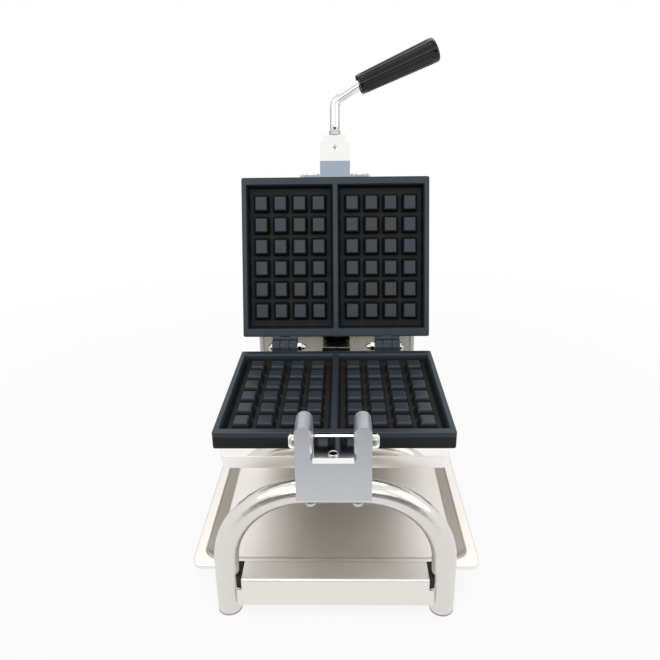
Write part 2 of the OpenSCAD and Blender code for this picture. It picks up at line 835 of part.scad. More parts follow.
// Knob with a scalloped skirt, a raised pointer bar and a blind bore for the spindle
module rotary_knob(y) {
  translate([wall_x + 3, y, dial_h]) rotate([0, 90, 0]) difference() {
    union() {
      cylinder(d = knob_d, h = 4);
      translate([0, 0, 4 - eps]) cylinder(d1 = knob_d - 3, d2 = knob_d - 7, h = 12 + eps);
      translate([-knob_d / 2 + 1, -1.5, 0]) cube([knob_d / 2, 3, 17]);
    }
    for (i = [0 : 15]) rotate([0, 0, i * 22.5 + 11.25])
      translate([knob_d / 2 - 0.5, 0, 5]) cylinder(d = 4, h = 20, $fn = 24);
    translate([0, 0, -1]) cylinder(d = spindle_d + 2 * run_gap, h = 10.5);
  }
}

module thermostat_body() {
  color("#d8d2c4") on_stand() rotary_body(dial_y[0], 36, 24);
}

module thermostat_spindle() {
  color("silver") on_stand() rotary_spindle(dial_y[0]);
}

module thermostat_knob() {
  color("#161617") on_stand() rotary_knob(dial_y[0]);
}

module timer_body() {
  color("#c9c9cc") on_stand() rotary_body(dial_y[1], 42, 30);
}

module timer_spindle() {
  color("silver") on_stand() rotary_spindle(dial_y[1]);
}

module timer_knob() {
  color("#161617") on_stand() rotary_knob(dial_y[1]);
}

// Rocker switch: a bezelled frame and a body behind the wall, with an open well for the rocker
module switch_body() {
  color("#232325") on_stand() translate([wall_x, switch_y, switch_h]) difference() {
    union() {
      translate([-24, -10.8, -13.8]) cube([24, 21.6, 27.6]);
      translate([0, -12.5, -15.5]) cube([1.8, 25, 31]);
    }
    translate([-9, -8.5, -12]) cube([20, 17, 24]);
    translate([rocker_in, 0, 0]) rotate([90, 0, 0]) cylinder(d = 3.1, h = 40, center = true);
  }
}

// The rocker is a drum segment with two faces on a pivot pin; it lies pressed in at its lower end
module switch_rocker() {
  color("#b3261e") on_stand() translate([wall_x + rocker_in, switch_y, switch_h]) rotate([0, rocker_lean, 0])
  {
    difference() {
      rotate([90, 0, 0]) cylinder(r = 11.4, h = 16, center = true);
      translate([-20, -9, -15]) cube([15, 18, 30]);
      rotate([0, rocker_lean, 0]) translate([4.8, -9, -15]) cube([15, 18, 15]);
      rotate([0, -rocker_lean, 0]) translate([4.8, -9, 0]) cube([15, 18, 15]);
    }
    rotate([90, 0, 0]) cylinder(d = 3, h = 20, center = true);
  }
}

// Pilot lamp with a domed lens
module pilot_lamp(y) {
  translate([wall_x, y, lamp_h]) rotate([0, 90, 0]) {
    translate([0, 0, -22]) cylinder(d = 9.8, h = 23);
    cylinder(d = 13, h = 1.6);
    translate([0, 0, 1.6 - eps]) intersection() {
      cylinder(d = 10.5, h = 4);
      translate([0, 0, -3.5]) sphere(d = 14);
    }
  }
}

module mains_lamp() {
  color("#3fae49") on_stand() pilot_lamp(lamp_y[0]);
}

module heat_lamp() {
  color("#e08a1e") on_stand() pilot_lamp(lamp_y[1]);
}

// Gland through the back panel: hexagon flange, clamping dome and inside nut
module cable_gland() {
  color("#26272a") on_stand() translate([gland_x, back_y, gland_h]) rotate([-90, 0, 0]) difference() {
    union() {
      hexagon(22, 5);
      translate([0, 0, 5 - eps]) cylinder(d1 = 20, d2 = 15, h = gland_out + sheet - 5 + eps);
      translate([0, 0, -12]) cylinder(d = 16, h = 13);
      translate([0, 0, -sheet - 4]) hexagon(22, 4);
    }
    translate([0, 0, -20]) cylinder(d = 9, h = 60);
  }
}

// ---------- the tilting shaft ----------

// Bearing block: a bored body with a cross pin turned on each side
module trunnion_block() {
  color("#a9adb2") at_plates() translate([0, pivot_y, 0]) difference() {
    union() {
      along_y(block_l) round_rect(block_w, block_h, 6);
      rotate([0, 90, 0]) cylinder(d = journal_d, h = 2 * (cheek_x + cheek_t), center = true);
    }
    rotate([90, 0, 0]) cylinder(d = bush_od, h = block_l + 2, center = true);
  }
}

module shaft_bush() {
  color("#b08d57") at_plates() translate([0, pivot_y, 0]) rotate([90, 0, 0]) difference() {
    union() {
      cylinder(d = bush_od, h = block_l, center = true);
      translate([0, 0, block_l / 2]) cylinder(d = bush_od + 5, h = 2.5);
    }
    cylinder(d = shaft_d + 2 * run_gap, h = block_l + 20, center = true);
  }
}

module turning_shaft() {
  y0 = hub_y + hub_t;
  color("silver") at_plates() translate([0, y0, 0]) rotate([-90, 0, 0]) difference() {
    cylinder(d = shaft_d, h = shaft_y1 - y0);
    translate([0, 0, -1]) cylinder(d = 12, h = shaft_y1 - y0 + 2);
  }
}

// Collar with a radial set screw, behind the bearing block
module shaft_collar() {
  color("#8f9398") at_plates() translate([0, pivot_y + block_l / 2, 0]) rotate([-90, 0, 0]) difference() {
    cylinder(d = shaft_d + 12, h = 9);
    translate([0, 0, -1]) cylinder(d = shaft_d + 2 * run_gap, h = 20);
    translate([0, 0, 4.5]) rotate([90, 0, 0]) cylinder(d = 5, h = 30, $fn = 24);
  }
}

// Strap under the casing that rises behind it as a box with a hub plate for the shaft
module shaft_arm() {
  color("silver") at_plates() difference() {
    union() {
      translate([-box_w / 2, strap_y, box_bottom]) cube([box_w, hub_y - strap_y, 4]);
      for (s = [-1, 1]) translate([s * (box_w / 2 - 1.5), 0, 0]) along_x(3) polygon([
        [plate_l + 3, box_bottom], [hub_y, box_bottom], [hub_y, box_top],
        [hinge_y + 4, box_top], [hinge_y + 4, box_top - 9], [plate_l + 3, box_top - 21]]);
      translate([-box_w / 2, hinge_y + 4, box_top - 4]) cube([box_w, hub_y - hinge_y - 4, 4]);
      translate([0, hub_y + hub_t / 2, 0]) along_y(hub_t) {
        translate([-box_w / 2, box_bottom]) square([box_w, box_top - box_bottom]);
        circle(d = 30);
      }
    }
    translate([0, hub_y, 0]) rotate([90, 0, 0]) cylinder(d = 12, h = 30, center = true);
    for (p = arm_bolt_places()) translate([p[0], p[1], box_bottom - 1]) cylinder(d = bolt_hole_d, h = 6);
  }
}

function arm_bolt_places() = [for (x = [-8, 8], y = [strap_y + 14, strap_y + 90]) [x, y]];

// Bolts from below the strap; they go through the casing's floor into the plate's bosses
module arm_bolts() {
  color("silver") at_plates() for (p = arm_bolt_places()) translate([p[0], p[1], box_bottom]) {
    translate([0, 0, -head_h]) hexagon(head_across, head_h);
    translate([0, 0, -eps]) cylinder(d = bolt_d, h = 26);
  }
}

// ---------- the lower half ----------

module lower_plate() {
  color("#3c444b") at_plates() casting();
}

module lower_hinge_lugs() {
  color("#3c444b") at_plates() hinge_lugs();
}

module lower_casing() {
  color("silver") at_plates() difference() {
    casing();
    for (p = arm_bolt_places()) translate([p[0], p[1], box_bottom]) cylinder(d = bolt_hole_d, h = 12);
  }
}

module lower_heater() {
  color("#5a4a42") at_plates() heater();
}

module lower_insulation() {
  color("ivory") at_plates() insulation();
}

module lower_sensor() {
  color("silver") at_plates() sensor();
}

module lower_casing_bolts() {
  color("silver") at_plates() casing_bolts();
}

module lower_latch_arm() {
  color("gainsboro") at_plates() difference() {
    union() {
      arm_flange();
      arm_channel(arm_reach, arm_w, lower_arm_h);
    }
    translate([0, pin_y, -arm_gap - arm_t - 0.5]) cylinder(d = bush_hole_d, h = 10);
  }
}

module lower_latch_screws() {
  color("silver") at_plates() flange_screws();
}

// Bush that the locating pin enters when the plates close
module locating_bush() {
  color("silver") at_plates() translate([0, pin_y, -arm_gap - arm_t]) difference() {
    union() {
      cylinder(d = bush_hole_d - 0.1, h = arm_t + eps);
      translate([0, 0, arm_t]) cylinder(d = 2 * (arm_reach + pin_y), h = 1.6);
    }
    translate([0, 0, -1]) cylinder(d = 6.3, h = 20);
  }
}

// Bolts of the two hinges, heads outside
module hinge_bolts() {
  color("silver") at_plates() for (s = [-1, 1])
    translate([s * (hinge_x + hinge_w / 2), hinge_y, 0]) rotate([0, s * 90, 0]) {
    cylinder(d = 11, h = 2.4);
    translate([0, 0, 2.4 - eps]) cylinder(d1 = 11, d2 = 6.5, h = 2.4);
    translate([0, 0, -hinge_w - 7.5]) cylinder(d = hinge_bolt_d, h = hinge_w + 7.5 + eps);
  }
}

// Domed cap nuts with a washer, on the hinges' inner sides
module hinge_nuts() {
  color("silver") at_plates() for (s = [-1, 1])
    translate([s * (hinge_x - hinge_w / 2), hinge_y, 0]) rotate([0, -s * 90, 0]) difference() {
    union() {
      cylinder(d = 12, h = 1);
      translate([0, 0, 1 - eps]) hexagon(10, 4.5);
      translate([0, 0, 5]) cylinder(d = 8.6, h = 2.5);
      translate([0, 0, 7.5]) sphere(d = 8.6);
    }
    translate([0, 0, -1]) cylinder(d = hinge_bolt_d + 0.1, h = 9);
  }
}

// ---------- the lid ----------

module upper_plate() {
  color("#3c444b") opened() turned_over() casting();
}

module upper_hinge_lugs() {
  color("#3c444b") opened() turned_over() hinge_lugs();
}

module upper_casing() {
  color("silver") opened() turned_over() casing();
}

module upper_heater() {
  color("#5a4a42") opened() turned_over() heater();
}

module upper_insulation() {
  color("ivory") opened() turned_over() insulation();
}

module upper_sensor() {
  color("silver") opened() turned_over() sensor();
}

module upper_casing_bolts() {
  color("silver") opened() turned_over() casing_bolts();
}

// The lid's arm is longer and steps in to a narrow end that holds the handle's thread
module upper_latch_arm() {
  color("gainsboro") opened() turned_over() difference() {
    union() {
      arm_flange();
      arm_channel(-shoulder_y, arm_w, lid_arm_h);
      translate([-tab_w / 2, tab_y, -lid_arm_h]) cube([tab_w, shoulder_y - tab_y + arm_t, lid_arm_h - arm_gap]);
    }
    translate([0, pin_y, -20]) cylinder(d = 5, h = 30);
    translate([0, tab_y, -rod_z]) rotate([90, 0, 0]) cylinder(d = 8.1, h = 40, center = true);
  }
}

module upper_latch_screws() {
  color("silver") opened() turned_over() flange_screws();
}

// Pin with a coned tip and a riveted shank
module locating_pin() {
  color("silver") opened() turned_over() translate([0, pin_y, 0]) {
    translate([0, 0, -arm_gap - arm_t - 1.5]) cylinder(d = 8, h = 1.5);
    translate([0, 0, -arm_gap - arm_t - eps]) cylinder(d = 4.9, h = arm_t + arm_gap + 3 + eps);
    translate([0, 0, 3 - eps]) cylinder(d1 = 4.9, d2 = 2.6, h = 1.6);
  }
}

// The rod's path in the lid's plane: straight out, a bend to the right, a straight run, and a
// slight second angle in the grip's mouth. Headings turn from -Y towards +X.
rod_y0 = tab_y - 8;
bend_y = -96;
rod_turn = 57;
grip_turn = 66;
rod_bend_r = 12;
rod_run = 38;
grip_in = 45;

function heading(a) = [sin(a), -cos(a), 0];
cut_1 = rod_bend_r * tan(rod_turn / 2);
corner_1 = [0, bend_y, 0];
corner_2 = corner_1 + rod_run * heading(rod_turn);
grip_start = corner_2 - heading(grip_turn);

// The rod and grip are drawn in the closed lid's own frame, which isn't turned over
module in_lid() {
  opened() translate([0, 0, rod_z]) children();
}

// Turns +Z to the heading a
module along(a) {
  rotate([0, 0, a]) rotate([90, 0, 0]) children();
}

// Bend of the rod that starts at a point with heading a0 and ends with heading a1
module rod_bend(start, a0, a1, r) {
  translate(start) rotate([0, 0, a0]) translate([r, 0, 0]) rotate([0, 0, 180])
    rotate_extrude(angle = a1 - a0) translate([r, 0]) circle(d = rod_d);
}

// Keys one stretch of the rod to the next
module rod_key(p, a) {
  translate(p - heading(a)) along(a) cylinder(d = rod_d - 2, h = 2);
}

module handle_rod() {
  bend_start = corner_1 - cut_1 * heading(0);
  bend_end = corner_1 + cut_1 * heading(rod_turn);
  color("silver") in_lid() {
    translate([0, tab_y + 11, 0]) along(0) cylinder(d = 8, h = 25);
    translate([0, rod_y0, 0]) along(0) cylinder(d1 = rod_d - 2, d2 = rod_d, h = 1);
    translate([0, rod_y0 - 1, 0]) along(0) cylinder(d = rod_d, h = rod_y0 - 1 - bend_y - cut_1);
    rod_bend(bend_start, 0, rod_turn, rod_bend_r);
    rod_key(bend_start, 0);
    rod_key(bend_end, rod_turn);
    translate(bend_end) along(rod_turn) cylinder(d = rod_d, h = rod_run - cut_1 + 2.5);
    translate(corner_2) along(grip_turn) cylinder(d = rod_d, h = grip_in - 2);
  }
}

module rod_lock_nut() {
  color("silver") in_lid() translate([0, tab_y, 0]) along(0) difference() {
    hexagon(13, 6.5);
    translate([0, 0, -1]) cylinder(d = 8.1, h = 10);
  }
}

// Tapered grip with long flutes and rounded ends
module handle_grip() {
  slope = atan((grip_d1 - grip_d0) / 2 / grip_l);
  flute_d = 4.4;
  color("#141415") in_lid() translate(grip_start) along(grip_turn) difference() {
    union() {
      cylinder(d1 = grip_d0 - 3, d2 = grip_d0, h = 2);
      translate([0, 0, 2 - eps]) cylinder(d1 = grip_d0, d2 = grip_d1, h = grip_l - 5);
      translate([0, 0, grip_l - 3 - 2 * eps]) cylinder(d1 = grip_d1, d2 = grip_d1 - 5, h = 3);
    }
    for (i = [0 : flutes - 1]) rotate([0, 0, i * 360 / flutes])
      translate([grip_d0 / 2 + 0.9, 0, 8])
        rotate([0, slope, 0]) cylinder(d = flute_d, h = grip_l - 17, $fn = 24);
    translate([0, 0, -1]) cylinder(d = rod_d + 0.1, h = grip_in + 1);
    translate([0, 0, -1]) cylinder(d1 = rod_d + 3.8, d2 = rod_d + 0.1, h = 6);
  }
}

front_hoop();
hoop_foot_plugs();
front_crossbar();
crossbar_pads();
base_rails();
fork_cradle();
fork_bolts();
drip_tray();
rear_housing();
housing_back();
housing_floor();
rear_feet();
housing_screws();
shaft_pedestal();
terminal_block();
thermostat_body();
thermostat_spindle();
thermostat_knob();
timer_body();
timer_spindle();
timer_knob();
switch_body();
switch_rocker();
mains_lamp();
heat_lamp();
cable_gland();
trunnion_block();
shaft_bush();
turning_shaft();
shaft_collar();
shaft_arm();
arm_bolts();
lower_plate();
lower_hinge_lugs();
lower_casing();
lower_heater();
lower_insulation();
lower_sensor();
lower_casing_bolts();
lower_latch_arm();
lower_latch_screws();
locating_bush();
hinge_bolts();
hinge_nuts();
upper_plate();
upper_hinge_lugs();
upper_casing();
upper_heater();
upper_insulation();
upper_sensor();
upper_casing_bolts();
upper_latch_arm();
upper_latch_screws();
locating_pin();
handle_rod();
rod_lock_nut();
handle_grip();
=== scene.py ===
"""Looks of an open turn-over waffle iron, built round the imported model.

Shapes that carry the likeness (cast plates, casings, tube hoop, tray, handle) are surfaces worked out with
numpy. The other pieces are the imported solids, some of them as copies with rounded edges. Sizes in the
classes are millimetres. The model's frame is metres, +Z up, and the operator stands at -Y.
"""

import json
import logging
import math
from dataclasses import dataclass, field, replace
from enum import Enum
from typing import Optional, Sequence

import bmesh
import bpy
import numpy as np
from mathutils import Matrix, Vector

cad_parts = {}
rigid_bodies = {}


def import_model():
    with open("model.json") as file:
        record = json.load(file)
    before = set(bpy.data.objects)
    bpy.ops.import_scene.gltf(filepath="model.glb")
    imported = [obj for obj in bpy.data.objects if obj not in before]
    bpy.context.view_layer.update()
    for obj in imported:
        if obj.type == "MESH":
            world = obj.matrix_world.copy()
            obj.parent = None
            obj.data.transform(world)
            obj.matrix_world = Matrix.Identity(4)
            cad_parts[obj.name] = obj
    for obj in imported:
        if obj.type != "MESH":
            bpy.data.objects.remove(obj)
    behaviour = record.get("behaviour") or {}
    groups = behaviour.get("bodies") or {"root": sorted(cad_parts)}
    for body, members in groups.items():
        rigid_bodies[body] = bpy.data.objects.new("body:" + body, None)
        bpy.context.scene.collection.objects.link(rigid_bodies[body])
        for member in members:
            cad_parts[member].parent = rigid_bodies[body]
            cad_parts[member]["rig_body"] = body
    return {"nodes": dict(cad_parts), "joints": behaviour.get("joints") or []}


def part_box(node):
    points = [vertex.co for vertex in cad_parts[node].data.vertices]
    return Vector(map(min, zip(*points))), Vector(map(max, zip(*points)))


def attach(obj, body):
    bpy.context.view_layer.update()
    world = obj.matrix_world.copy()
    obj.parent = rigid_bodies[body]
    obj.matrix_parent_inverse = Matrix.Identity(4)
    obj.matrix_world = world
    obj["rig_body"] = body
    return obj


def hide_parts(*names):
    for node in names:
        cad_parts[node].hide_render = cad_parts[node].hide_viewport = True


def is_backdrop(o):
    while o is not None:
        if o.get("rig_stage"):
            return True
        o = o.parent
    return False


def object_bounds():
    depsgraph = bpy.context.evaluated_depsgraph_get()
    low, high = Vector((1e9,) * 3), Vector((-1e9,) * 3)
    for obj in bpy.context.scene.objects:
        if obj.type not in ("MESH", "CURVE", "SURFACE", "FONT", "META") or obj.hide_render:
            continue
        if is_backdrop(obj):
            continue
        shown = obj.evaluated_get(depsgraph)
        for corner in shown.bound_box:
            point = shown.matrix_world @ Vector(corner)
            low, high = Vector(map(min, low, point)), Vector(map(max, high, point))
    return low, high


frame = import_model()

logging.basicConfig(level=logging.INFO, format="%(name)s: %(message)s")
LOG = logging.getLogger("waffle_iron")

MM = 0.001
# Points closer than this become one, in metres
MERGE = 1e-6
# Radius of the small flat at the pole of a turned shape, in millimetres
POLE = 0.05
# What two noises add up to over most of a surface, and the roughness that no mark goes below
BOTH_NOISES = (0.6, 1.4)
LEAST_ROUGHNESS = 0.02

Socket = bpy.types.NodeSocket


# ---------------------------------------------------------------- colours and nodes


def srgb(hex_colour: str) -> tuple[float, float, float, float]:
    """Turns an sRGB hex colour into linear RGBA.

    Args:
        hex_colour: Six hex digits after a hash sign.

    Returns:
        Linear red, green and blue, and an alpha of 1.
    """
    parts = np.array([int(hex_colour[i : i + 2], 16) for i in (1, 3, 5)]) / 255
    linear = np.where(parts <= 0.04045, parts / 12.92, ((parts + 0.055) / 1.055) ** 2.4)
    return (float(linear[0]), float(linear[1]), float(linear[2]), 1.0)


def add(tree: bpy.types.NodeTree, kind: str, links: Optional[dict] = None, **settings) -> bpy.types.Node:
    """Adds a node with its settings and links.

    Args:
        tree: The node tree.
        kind: The node's type name in Blender.
        links: Input name or index to an output socket that feeds it.
        **settings: Properties, or default values of inputs when the name starts with "in_".

    Returns:
        The new node.
    """
    node = tree.nodes.new(kind)
    for name, value in settings.items():
        if not name.startswith("in_"):
            setattr(node, name, value)
    for name, value in settings.items():
        if name.startswith("in_"):
            key = name[3:]
            node.inputs[int(key) if key.isdigit() else key.replace("_", " ")].default_value = value
    for key, socket in (links or {}).items():
        tree.links.new(socket, node.inputs[key])
    return node


def empty_tree(owner: bpy.types.ID) -> bpy.types.NodeTree:
    """Gives a material or a world an empty node tree.

    Args:
        owner: The material or world.

    Returns:
        The tree.
    """
    owner.use_nodes = True
    owner.node_tree.nodes.clear()
    return owner.node_tree


class Grain(Enum):
    """Direction of a surface's finest marks, as a stretch of the pattern along X, Y and Z."""

    NONE = (1.0, 1.0, 1.0)
    ALONG_X = (0.02, 1.0, 1.0)
    ALONG_Y = (1.0, 0.02, 1.0)
    ALONG_Z = (1.0, 1.0, 0.02)


@dataclass(frozen=True)
class Band:
    """A tinted band across a surface, between two distances along a direction.

    Args:
        colour: sRGB hex colour of the tint.
        along: Unit direction in the iron's frame.
        low_mm: Where the band begins along it.
        high_mm: Where it ends.
        soft_mm: Width over which its edges fade.
        rougher: How much roughness the band adds.
    """

    colour: str
    along: tuple[float, float, float]
    low_mm: float
    high_mm: float
    soft_mm: float = 0.5
    rougher: float = 0.0


def stretch(ends: np.ndarray) -> tuple[tuple[float, ...], float, float]:
    """Direction from one point to another, and how far along it both lie.

    Args:
        ends: The two points, shape (2, 3).

    Returns:
        The unit direction and both distances.
    """
    along = (ends[1] - ends[0]) / np.linalg.norm(ends[1] - ends[0])
    low, high = ends @ along
    return tuple(float(v) for v in along), float(low), float(high)


@dataclass(frozen=True)
class Finish:
    """A real surface: what it is made of, its colour and its finest marks.

    Args:
        name: The material's common name and how its surface was made.
        colour: sRGB hex colour.
        metallic: 1 for a bare metal, otherwise 0.
        roughness: Roughness of the surface at its middle.
        spread: How far the roughness swings with the marks.
        grain: Direction of the marks.
        grain_mm: Spacing of the marks.
        bump_mm: Height of the marks.
        shade: How far the colour darkens in the marks, from 0 to 1.
        blotch_mm: Size of the slow unevenness over the piece.
        coat: Weight of a clear, sharper layer on top.
        coat_roughness: Roughness of that layer.
        ior: Refractive index of a surface that isn't a bare metal.
        gloss: Specular level, where 0.5 is what the refractive index gives.
        band: A tinted band, if there is one.
    """

    name: str
    colour: str
    metallic: float = 0.0
    roughness: float = 0.4
    spread: float = 0.05
    grain: Grain = Grain.NONE
    grain_mm: float = 1.0
    bump_mm: float = 0.01
    shade: float = 0.05
    blotch_mm: float = 40.0
    coat: float = 0.0
    coat_roughness: float = 0.1
    ior: float = 1.5
    gloss: float = 0.5
    band: Optional[Band] = None

    def tinted(
        self, tree: bpy.types.NodeTree, place: Socket, plain: Socket, rough: Socket
    ) -> tuple[Socket, Socket]:
        """Lays the band over the plain colour and roughness.

        The band is the product of two ramps over the distance along its direction, one up and one down.

        Args:
            tree: The material's nodes.
            place: The socket with the object coordinates.
            plain: The colour without the band.
            rough: The roughness without the band.

        Returns:
            The sockets with the colour and the roughness.
        """
        band = self.band
        distance = add(tree, "ShaderNodeVectorMath", {0: place}, operation="DOT_PRODUCT", in_1=band.along)
        half = band.soft_mm / 2
        ramps = []
        for edge, first, last in ((band.low_mm, 0.0, 1.0), (band.high_mm, 1.0, 0.0)):
            ramp = add(
                tree, "ShaderNodeMapRange", {"Value": distance.outputs["Value"]},
                in_1=(edge - half) * MM, in_2=(edge + half) * MM, in_3=first, in_4=last,
            )
            ramps.append(ramp.outputs[0])
        share = add(tree, "ShaderNodeMath", dict(enumerate(ramps)), operation="MULTIPLY").outputs[0]
        tint = srgb(band.colour)
        mix = add(tree, "ShaderNodeMix", {"Factor": share, 6: plain}, data_type="RGBA", in_7=tint)
        duller = add(
            tree, "ShaderNodeMath", {0: share, 2: rough}, operation="MULTIPLY_ADD", in_1=band.rougher
        )
        return mix.outputs[2], duller.outputs[0]

    def build(self) -> bpy.types.Material:
        """Makes the node material once and returns it from then on.

        The fine marks are noise at the spacing grain_mm, drawn out along the grain. They swing the roughness,
        darken the colour a little and raise the surface by bump_mm. A slow noise swings the roughness again.

        Returns:
            The material.
        """
        known = bpy.data.materials.get(self.name)
        if known:
            return known
        material = bpy.data.materials.new(self.name)
        tree = empty_tree(material)
        place = add(tree, "ShaderNodeTexCoord").outputs["Object"]
        drawn_out = add(tree, "ShaderNodeMapping", {"Vector": place}, in_Scale=self.grain.value)
        marks = add(
            tree, "ShaderNodeTexNoise", {"Vector": drawn_out.outputs[0]},
            in_Scale=1 / (self.grain_mm * MM), in_Detail=3.0, in_Roughness=0.6,
        ).outputs["Fac"]
        blotches = add(
            tree, "ShaderNodeTexNoise", {"Vector": place}, in_Scale=1 / (self.blotch_mm * MM), in_Detail=2.0
        ).outputs["Fac"]
        both = add(tree, "ShaderNodeMath", {0: marks, 1: blotches}, operation="ADD")
        low, high = BOTH_NOISES
        rough = add(
            tree, "ShaderNodeMapRange", {"Value": both.outputs[0]}, in_1=low, in_2=high,
            in_3=max(self.roughness - self.spread, LEAST_ROUGHNESS), in_4=self.roughness + self.spread,
        )
        light = srgb(self.colour)
        dark = tuple(c * (1 - self.shade) for c in light[:3]) + (1.0,)
        tint = add(tree, "ShaderNodeMix", {"Factor": marks}, data_type="RGBA", in_6=dark, in_7=light)
        colour, roughness = tint.outputs[2], rough.outputs[0]
        if self.band:
            colour, roughness = self.tinted(tree, place, colour, roughness)
        bump = add(
            tree, "ShaderNodeBump", {"Height": marks}, in_Strength=1.0, in_Distance=self.bump_mm * MM
        )
        shader = add(
            tree, "ShaderNodeBsdfPrincipled",
            {"Base Color": colour, "Roughness": roughness, "Normal": bump.outputs[0]},
            in_Metallic=self.metallic, in_Coat_Weight=self.coat, in_Coat_Roughness=self.coat_roughness,
        )
        if not self.metallic:
            shader.inputs["IOR"].default_value = self.ior
            shader.inputs["Specular IOR Level"].default_value = self.gloss
            shader.inputs["Coat IOR"].default_value = self.ior
        add(tree, "ShaderNodeOutputMaterial", {"Surface": shader.outputs[0]})
        return material


# ---------------------------------------------------------------- meshes


@dataclass
class Patch:
    """A closed surface.

    Args:
        points: Its points in millimetres, shape (n, 3).
        quads: Its four-sided faces, as indices of points.
        caps: Its flat many-sided faces.
    """

    points: np.ndarray
    quads: np.ndarray
    caps: list[list[int]] = field(default_factory=list)


def sheet_quads(rows: int, columns: int, round_rows: bool, round_columns: bool) -> np.ndarray:
    """Quads of a grid of points.

    Point (i, j) has the index i * columns + j. A quad joins (i, j), (i + 1, j), (i + 1, j + 1), (i, j + 1),
    and a round direction joins its last line to its first.

    Args:
        rows: Number of rows.
        columns: Number of columns.
        round_rows: Whether the last row meets the first.
        round_columns: Whether the last column meets the first.

    Returns:
        An array of shape (quads, 4).
    """
    i = np.arange(rows if round_rows else rows - 1)
    j = np.arange(columns if round_columns else columns - 1)
    i, j = (a.ravel() for a in np.meshgrid(i, j, indexing="ij"))
    i2, j2 = (i + 1) % rows, (j + 1) % columns
    return np.stack([i * columns + j, i2 * columns + j, i2 * columns + j2, i * columns + j2], axis=1)


def tube(rings: np.ndarray, capped: bool = True) -> Patch:
    """Surface through rings of points.

    Args:
        rings: Array of shape (rings, points in a ring, 3).
        capped: Whether the first and the last ring are closed by flat faces.

    Returns:
        The surface.
    """
    count, around = rings.shape[:2]
    last = (count - 1) * around
    caps = [list(range(around)), list(range(last, last + around))] if capped else []
    return Patch(rings.reshape(-1, 3), sheet_quads(count, around, False, True), caps)


def circle(around: int) -> np.ndarray:
    """Angles of evenly spaced points on a circle.

    Args:
        around: Number of points.

    Returns:
        The angles, from 0 and without the full turn.
    """
    return np.linspace(0, 2 * np.pi, around, endpoint=False)


def revolve(radius: np.ndarray, height: np.ndarray, around: int = 48) -> Patch:
    """Shape about +Z: the point at angle a on ring k is (r cos a, r sin a, z), with r and z of that point.

    Args:
        radius: Radius of each ring, or of each point, shape (rings, around).
        height: Height, likewise.
        around: Points in a ring.

    Returns:
        The surface, with flat caps.
    """
    a = circle(around)
    r, z = (v[:, None] if v.ndim == 1 else v for v in (radius, height))
    return tube(np.stack([r * np.cos(a), r * np.sin(a), z + 0 * a], axis=2))


def levelled(plan: np.ndarray, level: np.ndarray) -> np.ndarray:
    """Rings in space from flat rings, each at its own height.

    Args:
        plan: The rings' X and Y, shape (rings, points in a ring, 2).
        level: Height of each ring.

    Returns:
        Array of shape (rings, points in a ring, 3).
    """
    return np.concatenate([plan, np.broadcast_to(level[:, None, None], plan.shape[:2] + (1,))], axis=2)


def round_rectangle(width: np.ndarray, length: np.ndarray, radius: np.ndarray, arc: int = 8) -> np.ndarray:
    """Rings of rectangles with round corners, centred on the Z axis.

    Each corner is arc + 1 points on a quarter circle of the ring's radius, about the corner's own centre.

    Args:
        width: Size along X of each ring.
        length: Size along Y of each ring.
        radius: Corner radius of each ring.
        arc: Steps in a corner.

    Returns:
        Array of shape (rings, 4 * (arc + 1), 2).
    """
    quarter = np.linspace(0, np.pi / 2, arc + 1)
    angle = np.concatenate([quarter + k * np.pi / 2 for k in range(4)])
    sign_x = np.repeat([1, -1, -1, 1], arc + 1)
    sign_y = np.repeat([1, 1, -1, -1], arc + 1)
    w, l, r = (np.asarray(v, float)[:, None] for v in (width, length, radius))
    x = sign_x * (w / 2 - r) + r * np.cos(angle)
    y = sign_y * (l / 2 - r) + r * np.sin(angle)
    return np.stack([x, y], axis=2)


def fillet(
    start: Sequence[float], corner: Sequence[float], end: Sequence[float], radius: float, steps: int = 5
) -> np.ndarray:
    """Round stretch of a profile: the arc of the given radius that touches both legs of a corner.

    Args:
        start: A point on the leg before the corner.
        corner: The sharp corner.
        end: A point on the leg after it.
        radius: Radius of the arc.
        steps: Steps on the arc.

    Returns:
        Points of the arc, shape (steps + 1, 2).
    """
    p, c, q = (np.asarray(v, float) for v in (start, corner, end))
    u = (p - c) / np.linalg.norm(p - c)
    v = (q - c) / np.linalg.norm(q - c)
    half = math.acos(float(np.clip(u @ v, -1, 1))) / 2
    middle = (u + v) / np.linalg.norm(u + v)
    centre = c + middle * radius / math.sin(half)
    a, b = c + u * radius / math.tan(half) - centre, c + v * radius / math.tan(half) - centre
    t = np.linspace(0, 1, steps + 1)[:, None]
    turn = math.pi - 2 * half
    return centre + (np.sin((1 - t) * turn) * a + np.sin(t * turn) * b) / math.sin(turn)


def rounded_profile(points: Sequence[Sequence[float]], radii: Sequence[float], steps: int = 5) -> np.ndarray:
    """Profile with a fillet at every inner corner.

    Args:
        points: Corners of the profile, ends included.
        radii: A radius for each inner corner, where 0 keeps it sharp.
        steps: Steps on each arc.

    Returns:
        Points of the rounded profile, shape (n, 2).
    """
    pieces = [np.array([points[0]], float)]
    for k, radius in enumerate(radii, start=1):
        if radius > 0:
            pieces.append(fillet(points[k - 1], points[k], points[k + 1], radius, steps))
        else:
            pieces.append(np.array([points[k]], float))
    pieces.append(np.array([points[-1]], float))
    return np.concatenate(pieces)


def smooth_min(a: np.ndarray, b: np.ndarray, k: float) -> np.ndarray:
    """Lesser of a and b, where the crossing is rounded over a difference of k (quadratic blend).

    Args:
        a: One array.
        b: The other.
        k: Difference of the two at which the rounding begins.

    Returns:
        b (1 - h) + a h - k h (1 - h), where h is 1/2 + (b - a) / 2k, held between 0 and 1.
    """
    h = np.clip(0.5 + 0.5 * (b - a) / k, 0, 1)
    return b * (1 - h) + a * h - k * h * (1 - h)


